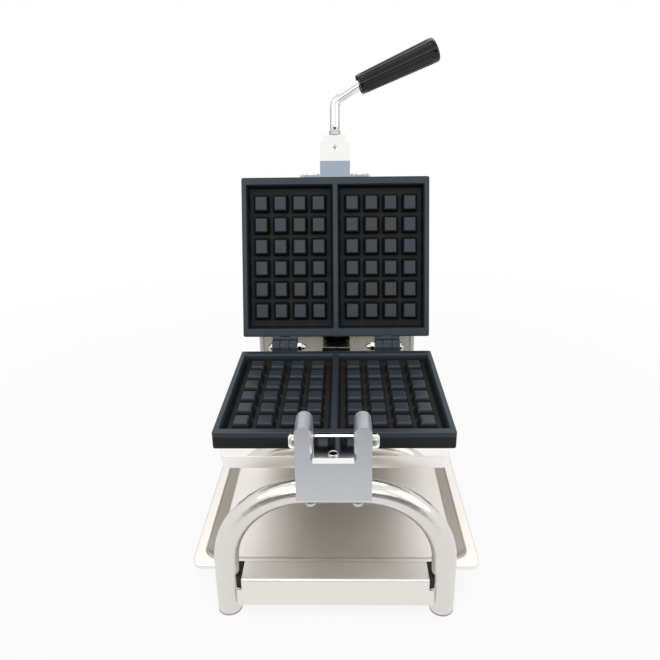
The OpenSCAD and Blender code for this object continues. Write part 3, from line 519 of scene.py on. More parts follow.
def soft_ramp(t: np.ndarray, foot: float, top: float) -> np.ndarray:
    """A ramp that is level, rises and is level again, with round ends.

    Args:
        t: Position on the ramp, where 0 is its foot and 1 its top.
        foot: Width of the rounding at the foot.
        top: Width of the rounding at the top.

    Returns:
        t held between 0 and 1 by two smooth lessers.
    """
    return -smooth_min(-smooth_min(t, np.ones_like(t), top), np.zeros_like(t), foot)


def sweep(path: np.ndarray, normal: np.ndarray, radius: np.ndarray, around: int = 40) -> Patch:
    """Round bar along a path that lies in a plane.

    The ring at a path point is p + r (cos a * side + sin a * normal), and side is the tangent crossed with
    the plane's normal.

    Args:
        path: Points, shape (n, 3).
        normal: The plane's unit normal.
        radius: Radius at each point.
        around: Points in a ring.

    Returns:
        The surface, with flat caps.
    """
    tangent = np.gradient(path, axis=0)
    tangent /= np.linalg.norm(tangent, axis=1)[:, None]
    side = np.cross(tangent, normal)
    a = circle(around)[None, :, None]
    rings = path[:, None] + radius[:, None, None] * (np.cos(a) * side[:, None] + np.sin(a) * normal)
    return tube(rings)


def bent_path(corners: Sequence[Sequence[float]], radii: Sequence[float], step: float = 4.0) -> np.ndarray:
    """Path of straight runs and round bends through corners in a plane.

    Args:
        corners: Ends and corners of the path.
        radii: Bend radius at each inner corner.
        step: The most that two points lie apart, or nearly.

    Returns:
        Points of shape (n, 2).
    """
    outline = rounded_profile(corners, radii, steps=12)
    gaps = np.linalg.norm(np.diff(outline, axis=0), axis=1)
    keep = np.concatenate([[True], gaps > 1e-6])
    outline, distance = outline[keep], np.concatenate([[0.0], np.cumsum(gaps)])[keep]
    extra = np.linspace(0, distance[-1], int(distance[-1] / step))
    every = np.unique(np.concatenate([distance, extra]))
    return np.stack([np.interp(every, distance, outline[:, k]) for k in range(2)], axis=1)


@dataclass(frozen=True)
class Place:
    """A turn and a shift from a piece's own frame to the iron's.

    Args:
        turn: Rotation matrix.
        shift: Where the piece's origin goes, in millimetres.
    """

    turn: np.ndarray = field(default_factory=lambda: np.eye(3))
    shift: np.ndarray = field(default_factory=lambda: np.zeros(3))

    def __call__(self, points: np.ndarray) -> np.ndarray:
        """Moves points.

        Args:
            points: Points in the piece's frame, shape (n, 3).

        Returns:
            The same points in the iron's frame.
        """
        return points @ self.turn.T + self.shift

    def after(self, inner: "Place") -> "Place":
        """Joins two places.

        Args:
            inner: The place that is applied first.

        Returns:
            The place that applies inner and then this one.
        """
        return Place(self.turn @ inner.turn, self.turn @ inner.shift + self.shift)


def turned(axis: str, degrees: float) -> np.ndarray:
    """Rotation matrix about one axis.

    Args:
        axis: X, Y or Z.
        degrees: Angle of the turn.

    Returns:
        The matrix, shape (3, 3).
    """
    return np.array(Matrix.Rotation(math.radians(degrees), 3, axis))


def new_object(name: str, data: bpy.types.ID) -> bpy.types.Object:
    """Makes an object and puts it into the scene.

    Args:
        name: The object's name.
        data: Its mesh, lamp or camera.

    Returns:
        The object.
    """
    made = bpy.data.objects.new(name, data)
    bpy.context.scene.collection.objects.link(made)
    return made


def clean(mesh: bpy.types.Mesh, flat_degrees: float = 0.0) -> None:
    """Merges equal points, drops empty faces and turns the faces outwards.

    Args:
        mesh: The mesh.
        flat_degrees: When above 0, faces that lie flatter than this to each other become one.
    """
    work = bmesh.new()
    work.from_mesh(mesh)
    bmesh.ops.remove_doubles(work, verts=work.verts, dist=MERGE)
    bmesh.ops.dissolve_degenerate(work, edges=work.edges, dist=MERGE)
    if flat_degrees:
        bmesh.ops.dissolve_limit(
            work, angle_limit=math.radians(flat_degrees), verts=work.verts, edges=work.edges
        )
    bmesh.ops.recalc_face_normals(work, faces=work.faces)
    work.to_mesh(mesh)
    work.free()


def surface(patches: Sequence[Patch], place: Place) -> bpy.types.Mesh:
    """Puts closed surfaces into one mesh.

    Args:
        patches: The surfaces, in the piece's own frame.
        place: From that frame to the iron's.

    Returns:
        The mesh.
    """
    first = np.cumsum([0] + [len(p.points) for p in patches])
    points = np.concatenate([p.points for p in patches])
    faces = [quad for k, p in enumerate(patches) for quad in (p.quads + first[k]).tolist()]
    faces += [[i + int(first[k]) for i in cap] for k, p in enumerate(patches) for cap in p.caps]
    mesh = bpy.data.meshes.new("surface")
    mesh.from_pydata((place(points) * MM).tolist(), [], faces)
    clean(mesh)
    return mesh


def make_piece(
    name: str,
    mesh: bpy.types.Mesh,
    body: str,
    finish: Finish,
    replaces: Sequence[str] = (),
    sharp_degrees: float = 35.0,
) -> bpy.types.Object:
    """Makes a mesh a piece of the iron.

    Args:
        name: The piece's name.
        mesh: Its mesh, in the iron's frame.
        body: The body that it moves with.
        finish: Its surface.
        replaces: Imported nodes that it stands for.
        sharp_degrees: Edges that turn further than this stay sharp.

    Returns:
        The piece.
    """
    mesh.name = name
    mesh.shade_smooth()
    mesh.set_sharp_from_angle(angle=math.radians(sharp_degrees))
    mesh.materials.clear()
    mesh.materials.append(finish.build())
    piece = new_object(name, mesh)
    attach(piece, body)
    if replaces:
        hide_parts(*replaces)
    LOG.info("%s rides on %s with %d faces", name, body, len(mesh.polygons))
    return piece


# ---------------------------------------------------------------- finishes

# Sand-cast aluminium under a baked PTFE coat: dark blue-grey, with a broad soft shine and a fine orange peel
COATED_CASTING = Finish(
    "ptfe_coated_cast_aluminium", "#2c3740", roughness=0.34, grain_mm=0.9, bump_mm=0.02, shade=0.25,
    blotch_mm=35, ior=1.42,
)
# Stainless tube, belt-polished along its length: nearly a mirror, drawn out lengthwise
POLISHED_TUBE = Finish(
    "polished_stainless_tube", "#e2dfda", metallic=1.0, roughness=0.25, grain_mm=1.2, bump_mm=0.004,
    shade=0.06, blotch_mm=60,
)
# Stainless sheet with a brushed hairline along X. Real hairlines are 0.1 mm apart, drawn at 0.7 mm to show
HAIRLINE_X = Finish(
    "hairline_stainless_along_x", "#f3f0ec", metallic=1.0, roughness=0.42, spread=0.08, grain=Grain.ALONG_X,
    grain_mm=0.7, shade=0.1, blotch_mm=80,
)
# The same sheet with its hairline upright, its colour darkened to a painted shade for the housing that stands
# in shade below the iron
HAIRLINE_Z_PAINTED_SHADE = Finish(
    "hairline_stainless_along_z_painted_shade", "#a9a69e", metallic=1.0, roughness=0.3, spread=0.08, grain=Grain.ALONG_Z,
    grain_mm=0.7, shade=0.1, blotch_mm=80,
)
# Stainless sheet with its hairline from front to back
HAIRLINE_Y = Finish(
    "hairline_stainless_along_y", "#d3cdc4", metallic=1.0, roughness=0.34, spread=0.1, grain=Grain.ALONG_Y,
    grain_mm=1.6, bump_mm=0.03, shade=0.2, blotch_mm=90,
)
# Stainless sheet of the tray, its hairline across: a wide satin sheen, with fine lines from side to side
TRAY_SHEET = Finish(
    "hairline_stainless_tray", "#faf6f0", metallic=1.0, grain=Grain.ALONG_X, grain_mm=0.8, bump_mm=0.09,
    shade=0.08, blotch_mm=90,
)
# Stainless sheet, fine-blasted to an even pale satin
SATIN_SHEET = Finish(
    "blasted_stainless_sheet", "#fbf9f5", metallic=1.0, roughness=0.36, grain_mm=0.6, bump_mm=0.006,
    shade=0.04, blotch_mm=70,
)
# Painted shade inside a hole: a brown-black, dull lining that darkens the bore
PAINTED_SHADE_LINING = Finish(
    "painted_shade_lining", "#0d0b0a", roughness=0.85, grain_mm=0.7, bump_mm=0.05, shade=0.3, blotch_mm=4, gloss=0.2,
)
# Bright-annealed stainless sheet: a soft mirror
MIRROR_SHEET = Finish(
    "bright_annealed_stainless", "#f8f7f3", metallic=1.0, roughness=0.045, spread=0.015, grain_mm=4.0,
    bump_mm=0.001, shade=0.02, blotch_mm=60,
)
# Milled aluminium, satin: pale grey with faint cutter marks across
SATIN_ALUMINIUM = Finish(
    "milled_aluminium", "#cfd1d6", metallic=1.0, spread=0.06, grain=Grain.ALONG_Z, grain_mm=1.4,
    bump_mm=0.012, shade=0.1, blotch_mm=30,
)
# Chromium plate on a drawn steel bar: a clean mirror
CHROME = Finish(
    "chromium_plated_steel", "#e2e2e2", metallic=1.0, roughness=0.06, spread=0.02, grain_mm=3.0,
    bump_mm=0.002, shade=0.02, blotch_mm=30,
)
# Bright stainless fasteners, tumbled
FASTENER = Finish(
    "tumbled_stainless_fastener", "#cdccc9", metallic=1.0, roughness=0.2, spread=0.06, grain_mm=0.8,
    bump_mm=0.006, shade=0.08, blotch_mm=8,
)
# Turned carbon steel with a fine oil film
TURNED_STEEL = Finish(
    "turned_steel", "#a2a4a6", metallic=1.0, roughness=0.3, spread=0.08, grain=Grain.ALONG_X, grain_mm=0.6,
    shade=0.14, blotch_mm=20,
)
# Phenolic moulding, polished in its mould: deep black with a sharp shine
PHENOLIC = Finish(
    "phenolic_moulding", "#060607", roughness=0.1, spread=0.02, grain_mm=2.5, bump_mm=0.001, shade=0.15,
    blotch_mm=25, gloss=0.36,
)
# ABS moulding with a spark-eroded matt texture
MATT_ABS = Finish(
    "spark_textured_abs", "#1f2022", roughness=0.55, spread=0.06, grain_mm=0.6, bump_mm=0.03, shade=0.15,
    blotch_mm=20,
)
# Nitrile rubber, dull
RUBBER = Finish(
    "nitrile_rubber", "#1a1a1b", roughness=0.72, spread=0.06, grain_mm=0.8, bump_mm=0.03, shade=0.2,
    blotch_mm=12,
)
# Polyethylene plug, grey and waxy
POLYETHYLENE = Finish(
    "polyethylene_moulding", "#a5a29c", roughness=0.5, spread=0.06, bump_mm=0.02, shade=0.08, blotch_mm=10,
)
# Glazed steatite
STEATITE = Finish("glazed_steatite", "#e6dfca", roughness=0.22, grain_mm=1.5, blotch_mm=12)
# Sintered bronze, warm and slightly porous
BRONZE = Finish(
    "sintered_bronze", "#b08a4e", metallic=1.0, roughness=0.36, spread=0.08, grain_mm=0.5, bump_mm=0.02,
    shade=0.2, blotch_mm=10,
)
# Steel sheath that the heat has turned brown
HEAT_SHEATH = Finish(
    "heat_coloured_steel_sheath", "#5f5048", metallic=1.0, roughness=0.42, spread=0.1, grain_mm=2.0,
    shade=0.35, blotch_mm=18,
)
# Pressed mineral wool, loose fibres
MINERAL_WOOL = Finish(
    "pressed_mineral_wool", "#d9d2bd", roughness=0.92, grain_mm=0.9, bump_mm=0.3, shade=0.3, blotch_mm=15,
)
# Beige urea moulding of a control's body
UREA = Finish("urea_moulding", "#bdb6a6", grain_mm=1.2, shade=0.06, blotch_mm=20)
# Polycarbonate rocker, red and glossy
RED_ROCKER = Finish(
    "polycarbonate_rocker", "#a3120e", roughness=0.22, spread=0.04, grain_mm=1.2, bump_mm=0.004, shade=0.1,
    blotch_mm=10, coat=0.4, coat_roughness=0.06,
)
# Clear-tinted lenses of the pilot lamps
GREEN_LENS = Finish(
    "acrylic_lens_green", "#2f9a44", roughness=0.12, spread=0.03, grain_mm=1.5, shade=0.25, blotch_mm=4,
    coat=0.8, coat_roughness=0.04,
)
AMBER_LENS = Finish(
    "acrylic_lens_amber", "#d9861b", roughness=0.12, spread=0.03, grain_mm=1.5, shade=0.25, blotch_mm=4,
    coat=0.8, coat_roughness=0.04,
)
# Screen-printed ink
INK = Finish(
    "screen_printed_ink", "#1c1c1e", roughness=0.6, spread=0.04, grain_mm=0.4, bump_mm=0.004, shade=0.1,
    blotch_mm=5,
)


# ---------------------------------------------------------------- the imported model's own places


def hinge_joint(name: str) -> tuple[np.ndarray, float]:
    """Looks up a hinge joint in the frame.

    Args:
        name: The joint's name.

    Returns:
        Its anchor in millimetres, and its upper limit in degrees.
    """
    joint = next(j for j in frame["joints"] if j["name"] == name)
    return np.array(joint.get("pos_m") or joint["pos"]) / MM, max(joint["range_deg"])


@dataclass(frozen=True)
class Layout:
    """Places that several sub-assemblies share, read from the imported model, in millimetres.

    Args:
        front: The plates' front edge along Y.
        parting: Height of the closed plates' parting plane.
        hinge_behind: Distance of the hinge axis behind the front edge.
        open_degrees: How far the lid is open at rest.
    """

    front: float
    parting: float
    hinge_behind: float
    open_degrees: float

    @staticmethod
    def read() -> "Layout":
        """Reads the hinge and the front edge of the plates from the frame.

        Returns:
            The layout.
        """
        hinge, open_degrees = hinge_joint("lid_hinge")
        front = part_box("lower_plate")[0].y / MM
        return Layout(front, parting=hinge[2], hinge_behind=hinge[1] - front, open_degrees=open_degrees)

    @property
    def level(self) -> Place:
        """From a frame that begins below the plates' front edge, on the worktop, to the iron's."""
        return Place(shift=np.array([0.0, self.front, 0.0]))

    @property
    def closed(self) -> Place:
        """From the plates' own frame, with the parting plane at height 0, to the iron's."""
        return Place(shift=np.array([0.0, self.front, self.parting]))

    @property
    def opened(self) -> Place:
        """From the closed lid's frame to the open lid in the iron's frame."""
        turn = turned("X", -self.open_degrees)
        hinge = np.array([0.0, self.hinge_behind, 0.0])
        return self.closed.after(Place(turn, hinge - turn @ hinge))

    @property
    def lid_casting(self) -> Place:
        """From the casting's frame, face up, to the open lid: turned over, then opened."""
        return self.opened.after(Place(turned("Y", 180)))


def lid_and_base(layout: Layout) -> tuple[tuple[str, str, Place], tuple[str, str, Place]]:
    """Names, bodies and places of the iron's two halves.

    Args:
        layout: The shared places.

    Returns:
        First word of the names, the body and the place, for the lower and the upper half.
    """
    return (("lower", "head", layout.closed), ("upper", "lid", layout.lid_casting))


def softened(
    node: str, finish: Finish, edge_mm: float, segments: int = 2, limit_degrees: float = 40.0
) -> bpy.types.Object:
    """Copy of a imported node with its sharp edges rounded, which then stands for the node.

    Args:
        node: The node's name.
        finish: Its surface.
        edge_mm: Width of the rounding.
        segments: Steps of the rounding.
        limit_degrees: Edges that turn less than this stay as they are.

    Returns:
        The piece.
    """
    source = frame["nodes"][node]
    mesh = source.data.copy()
    clean(mesh, flat_degrees=0.4)
    piece = make_piece(f"{node}_edged", mesh, source["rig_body"], finish, [node], limit_degrees)
    bevel = piece.modifiers.new("edge", "BEVEL")
    bevel.width = edge_mm * MM
    bevel.segments = segments
    bevel.limit_method = "ANGLE"
    bevel.angle_limit = math.radians(limit_degrees)
    bevel.use_clamp_overlap = True
    flats = piece.modifiers.new("flats", "WEIGHTED_NORMAL")
    flats.keep_sharp = True
    flats.weight = 100
    return piece


def dress(node: str, finish: Finish) -> None:
    """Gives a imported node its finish. Its shape stays as it is packed.

    Args:
        node: The node's name.
        finish: Its surface.
    """
    obj = frame["nodes"][node]
    obj.data.materials.clear()
    obj.data.materials.append(finish.build())
    LOG.info("%s keeps its packed shape as %s", node, finish.name)


# ---------------------------------------------------------------- cast plates


# Where grid lines lie over a flank, as shares of its width in from its top: close together at both bends
FLANK_LINES = np.array([-0.8, -0.55, -0.38, -0.15, 0.0, 0.15, 0.38, 0.6, 0.8, 1.0, 1.2, 1.42, 1.55, 1.75])


@dataclass
class CastPlates:
    """Two equal castings with two waffle pockets each, and the knuckles of their hinges.

    wall_round and stud_round give the rounding at a flank's foot, at its top, and at the arris where two
    flanks meet, as shares of the flank.
    """

    layout: Layout
    width: float = 240.0
    length: float = 204.0
    thickness: float = 18.0
    corner: float = 2.4
    pocket_width: float = 110.5
    pocket_length: float = 184.0
    depth: float = 14.0
    divider: float = 6.5
    front_land: float = 9.5
    wall_draft: float = 10.0
    columns: int = 4
    rows: int = 6
    pitch_x: float = 24.6
    pitch_y: float = 27.7
    stud_width: float = 14.3
    stud_length: float = 17.0
    recess: float = 2.5
    stud_draft: float = 12.0
    hinge_reach: float = 13.3
    hinge_x: float = 65.9
    knuckle: float = 21.0
    hinge_width: float = 32.0
    middle_width: float = 11.6
    knuckle_gap: float = 0.2
    knuckle_round: float = 0.8
    heel: float = 7.0
    edge: float = 0.8
    wall_round: tuple[float, float, float] = (0.35, 0.5, 0.25)
    stud_round: tuple[float, float, float] = (0.42, 0.35, 0.22)
    # Where the painted shade begins below the studs' tops, and the width over which it fades in
    pale_below_stud: float = 2.2
    pale_fade: float = 2.6

    @property
    def middle_row(self) -> float:
        """Distance of the pockets' middle behind the plate's front edge."""
        return self.front_land + self.pocket_length / 2

    @property
    def wall_run(self) -> float:
        """How far a pocket's wall leans in from its top to its foot."""
        return self.depth * math.tan(math.radians(self.wall_draft))

    @property
    def stud_run(self) -> float:
        """How far a stud's side leans out from its top to its foot."""
        return (self.depth - self.recess) * math.tan(math.radians(self.stud_draft))

    def stud_centres(self) -> tuple[np.ndarray, np.ndarray]:
        """Middles of the studs.

        Returns:
            The columns' places across and the rows' places along.
        """
        pocket_x = (self.divider + self.pocket_width) / 2
        half = (np.arange(self.columns) - (self.columns - 1) / 2) * self.pitch_x + pocket_x
        rows = (np.arange(self.rows) - (self.rows - 1) / 2) * self.pitch_y + self.middle_row
        return np.concatenate([-half[::-1], half]), rows

    def height(self, x: np.ndarray, y: np.ndarray) -> np.ndarray:
        """Height of the casting's face over its grid.

        The face is -depth * pocket + (depth - recess) * studs. The pocket share is the lesser of a flank
        across and a flank along, each measured in from the nearest wall, and so is the stud share, in from
        the nearest stud's foot. A flank's share is the distance in over its run, with round ends. The lesser
        of two flanks makes the four-sided frustum, and its arrises are rounded.

        Args:
            x: Positions across, shape (n,).
            y: Positions along, shape (m,).

        Returns:
            Heights of shape (m, n).
        """
        wall_run, stud_run = self.wall_run, self.stud_run
        from_divider = np.abs(x) - self.divider / 2
        in_x = np.minimum(from_divider, self.pocket_width - from_divider)
        in_y = self.pocket_length / 2 - np.abs(y - self.middle_row)
        foot, top, arris = self.wall_round
        across, along = (soft_ramp(inward / wall_run, foot, top) for inward in (in_x, in_y))
        pocket = smooth_min(across[None, :], along[:, None], arris)
        pocket = np.where((in_x[None, :] > -wall_run) & (in_y[:, None] > -wall_run), pocket, 0)
        columns, rows = self.stud_centres()
        off_x = np.abs(x[:, None] - columns[None, :]).min(axis=1)
        off_y = np.abs(y[:, None] - rows[None, :]).min(axis=1)
        foot, top, arris = self.stud_round
        across = soft_ramp((self.stud_width / 2 + stud_run - off_x) / stud_run, foot, top)
        along = soft_ramp((self.stud_length / 2 + stud_run - off_y) / stud_run, foot, top)
        studs = smooth_min(across[None, :], along[:, None], arris)
        return -self.depth * np.clip(pocket, 0, 1) + (self.depth - self.recess) * np.clip(studs, 0, 1)

    @staticmethod
    def grid_lines(low: float, high: float, edges: np.ndarray, flat: np.ndarray, run: float) -> np.ndarray:
        """Grid lines that crowd over the flanks.

        Args:
            low: First line.
            high: Last line.
            edges: Place of each flank's top, with the sign of its fall in the second column.
            flat: Further lines.
            run: Width of a flank.

        Returns:
            The sorted lines.
        """
        lines = (edges[:, :1] + edges[:, 1:] * FLANK_LINES * run).ravel()
        lines = np.unique(np.round(np.concatenate([[low, high], lines, flat]), 3))
        return lines[(lines >= low) & (lines <= high)]

    def face(self) -> Patch:
        """The whole casting as one closed skin: the studded face, a round outer edge, the sides and the back.

        The face is a grid. Each point on the grid's border is carried outwards to the casting's outline, over
        a quarter round, down the side and under the back, and the corner points spread over the corner's arc.

        Returns:
            The skin.
        """
        columns, rows = self.stud_centres()
        sides = (-1, 1)
        middle, outer = self.divider / 2, self.divider / 2 + self.pocket_width
        walls_x = np.array([[s * middle, s] for s in sides] + [[s * outer, -s] for s in sides])
        walls_y = np.array([[self.middle_row + s * self.pocket_length / 2, -s] for s in sides])
        studs_x = np.array([[c + s * self.stud_width / 2, s] for c in columns for s in sides])
        studs_y = np.array([[r + s * self.stud_length / 2, s] for r in rows for s in sides])
        across = (self.corner - self.width / 2, self.width / 2 - self.corner)
        along = (self.corner, self.length - self.corner)
        x = np.union1d(
            self.grid_lines(*across, studs_x, columns, self.stud_run),
            self.grid_lines(*across, walls_x, np.zeros(1), self.wall_run),
        )
        y = np.union1d(
            self.grid_lines(*along, studs_y, rows, self.stud_run),
            self.grid_lines(*along, walls_y, np.zeros(0), self.wall_run),
        )
        z = self.height(x, y)
        gx, gy = np.meshgrid(x, y)
        top = np.stack([gx.ravel(), gy.ravel(), z.ravel()], axis=1)
        quads = sheet_quads(len(y), len(x), False, False)[:, ::-1]
        skirt, cap = self.skirt(x, y)
        points = np.concatenate([top, skirt.points])
        return Patch(points, np.concatenate([quads, skirt.quads + len(top)]), [[i + len(top) for i in cap]])

    def skirt(self, x: np.ndarray, y: np.ndarray) -> tuple[Patch, list[int]]:
        """Edge, sides and back of the casting, from the border of the face's grid.

        Args:
            x: The grid's lines across.
            y: The grid's lines along.

        Returns:
            The skin, and the indices of its last ring, which the back closes.
        """
        sides = [
            (np.stack([x[::-1], np.full(len(x), y[-1])], 1), np.array([0.0, 1.0])),
            (np.stack([np.full(len(y), x[0]), y[::-1]], 1), np.array([-1.0, 0.0])),
            (np.stack([x, np.full(len(x), y[0])], 1), np.array([0.0, -1.0])),
            (np.stack([np.full(len(y), x[-1]), y], 1), np.array([1.0, 0.0])),
        ]
        border, outward = [], []
        corner_steps = 6
        turns = np.linspace(0, np.pi / 2, corner_steps + 1)[1:-1]
        for points, normal in sides:
            ahead = np.array([-normal[1], normal[0]])
            border += [points, np.repeat(points[-1:], len(turns), axis=0)]
            outward.append(np.repeat(normal[None], len(points), axis=0))
            outward.append(np.cos(turns)[:, None] * normal + np.sin(turns)[:, None] * ahead)
        inner, out = np.concatenate(border), np.concatenate(outward)
        quarter = np.linspace(0, np.pi / 2, 5)
        chamfer = 1.0
        over = self.corner - self.edge + self.edge * np.sin(quarter)
        down = self.edge * np.cos(quarter) - self.edge
        reach = np.concatenate([[0.0], over, [self.corner, self.corner - chamfer]])
        level = np.concatenate([[0.0], down, [chamfer - self.thickness, -self.thickness]])
        patch = tube(levelled(inner[None] + out[None] * reach[:, None, None], level), capped=False)
        around = len(inner)
        return patch, list(range((len(reach) - 1) * around, len(reach) * around))

    def knuckle_skin(self, x: float, width: float) -> Patch:
        """One knuckle with its arm and stop heel, as a polar outline carried along the hinge pin.

        At angle a from +Y the outline is the farthest of the knuckle's radius, the arm's block and the heel's
        block, each met by a ray from the hinge axis. The ends draw in over a quarter round.

        Args:
            x: The knuckle's middle across the plate.
            width: Its width along the hinge pin.

        Returns:
            The skin.
        """
        angle = circle(180)
        eps = 1e-9

        def block(turn: float, reach: float, rise: float) -> np.ndarray:
            """Ray lengths to a block that reaches back from the axis and rises on one side.

            Args:
                turn: Angle of the block about the axis.
                reach: Its length.
                rise: Its height, below 0 for a block that hangs.

            Returns:
                The length along each ray, or 0 where the ray misses the block.
            """
            c, s = np.cos(angle - turn), np.sin(angle - turn)
            inside = (c < eps) & (s > -eps) if rise > 0 else (c < eps) & (s < eps)
            return np.where(inside, np.minimum(reach / (np.abs(c) + eps), abs(rise) / (np.abs(s) + eps)), 0)

        into_plate, stop_gap = 1.0, 0.1
        arm = block(0.0, self.hinge_reach + into_plate, -self.knuckle / 2)
        heel = block(-math.radians(self.layout.open_degrees), self.hinge_reach - stop_gap, self.heel)
        radius = np.maximum(self.knuckle / 2, np.maximum(arm, heel))
        quarter = np.linspace(0, np.pi / 2, 4)
        soft = self.knuckle_round
        draw = np.concatenate([soft * (1 - np.sin(quarter)), soft * (1 - np.cos(quarter))])
        rise, fall = soft * (1 - np.cos(quarter)), soft * np.sin(quarter)
        along = np.concatenate([-width / 2 + rise, width / 2 - soft + fall])
        reach = radius[None] - draw[:, None]
        rings = np.stack([
            np.broadcast_to(x + along[:, None], reach.shape),
            self.layout.hinge_behind + reach * np.cos(angle),
            reach * np.sin(angle),
        ], axis=2)
        return tube(rings)

    def coat_with_painted_shade(self, half: str, place: Place) -> Finish:
        """The coat with painted shade: pale studs and rims, and painted shade nearly black in the pockets and
        on the sides.

        Args:
            half: First word of the half's name.
            place: Where its casting lies.

        Returns:
            The coat with a band of painted shade from below the studs' tops to the casting's back.
        """
        past_back = 2.0
        low, high = -self.thickness - past_back, -self.recess - self.pale_below_stud
        ends = np.array([[0.0, 0.0, low], [0.0, 0.0, high]])
        # The band is painted shade: pockets, studs' flanks and the casting's sides darkened below the lit
        # tops
        band = Band("#080a0c", *stretch(place(ends)), self.pale_fade, rougher=0.3)
        return replace(COATED_CASTING, name=f"{COATED_CASTING.name}_{half}", band=band)

    def build(self) -> None:
        """Makes the lower casting with its lugs, and the same turned over as the upper one."""
        outer_width = (self.hinge_width - self.middle_width - 2 * self.knuckle_gap) / 2
        outer_x = (self.hinge_width - outer_width) / 2
        lugs = [self.knuckle_skin(-self.hinge_x, self.middle_width)]
        lugs += [self.knuckle_skin(self.hinge_x + s * outer_x, outer_width) for s in (-1, 1)]
        for half, body, place in lid_and_base(self.layout):
            coat = self.coat_with_painted_shade(half, place)
            casting, knuckles = surface([self.face()], place), surface(lugs, place)
            make_piece(f"{half}_casting", casting, body, coat, [f"{half}_plate"], 50)
            make_piece(f"{half}_lugs", knuckles, body, COATED_CASTING, [f"{half}_hinge_lugs"], 50)


# ---------------------------------------------------------------- casings


@dataclass
class Casings:
    """Pressed sheet pans over the heaters, one below the lower plate and one behind the upper plate.

    Each has a polished collar against its plate and a blasted pan below the collar.
    """

    layout: Layout
    plate: CastPlates
    inset: float = 4.0
    collar: float = 12.4
    collar_lean: float = 2.4
    depth: float = 27.0
    draw_in: float = 3.0
    step: float = 0.4
    sheet: float = 1.2
    corner: float = 7.0
    floor_from: float = 24.0

    def shell(self, profile: np.ndarray) -> Patch:
        """Closed shell: rings of round-cornered rectangles along a profile of inset and height.

        The front and rear walls lie further in than the side walls. The surplus rises evenly down the collar
        and falls again to nothing at the pan's floor.

        Args:
            profile: Points of the profile, inset first and height second.

        Returns:
            The shell.
        """
        draw, level = profile[:, 0], profile[:, 1]
        below = -self.plate.thickness - level
        more = np.interp(below, [0, self.collar, self.depth], [0, self.collar_lean, 0])
        width = self.plate.width - 2 * (self.inset + draw)
        length = self.plate.length - 2 * (self.inset + draw + more)
        plan = round_rectangle(width, length, np.maximum(self.corner - draw / 2, 1.0))
        plan[..., 1] += self.plate.length / 2
        return tube(levelled(plan, level))

    def upper_part(self) -> Patch:
        """The polished collar, whose front and rear walls lean in towards its foot.

        Returns:
            The collar.
        """
        top, foot = -self.plate.thickness, -self.plate.thickness - self.collar
        level = np.linspace(foot, top, 7)
        outside = np.stack([np.zeros(len(level)), level], axis=1)
        inside = np.stack([np.full(len(level), self.sheet), level[::-1]], axis=1)
        return self.shell(np.concatenate([outside, inside]))

    def lower_part(self) -> Patch:
        """The blasted pan, folded up from its floor, whose lip lies against the collar's foot.

        Returns:
            The pan.
        """
        foot, bottom = -self.plate.thickness - self.collar, -self.plate.thickness - self.depth
        start, draw, sheet = self.floor_from, self.draw_in, self.sheet
        outside = rounded_profile([(start, bottom), (draw, bottom), (-self.step, foot)], [1.6], steps=6)
        inside = rounded_profile(
            [(sheet, foot), (draw + sheet, bottom + sheet), (start, bottom + sheet)], [0.8], steps=4
        )
        return self.shell(np.concatenate([outside, inside]))

    def build(self) -> None:
        """Makes the collar and the pan of both halves."""
        for half, body, place in lid_and_base(self.layout):
            collar, pan = (surface([part], place) for part in (self.upper_part(), self.lower_part()))
            make_piece(f"{half}_collar", collar, body, MIRROR_SHEET, [f"{half}_casing"])
            make_piece(f"{half}_pan", pan, body, SATIN_SHEET)


# ---------------------------------------------------------------- handle


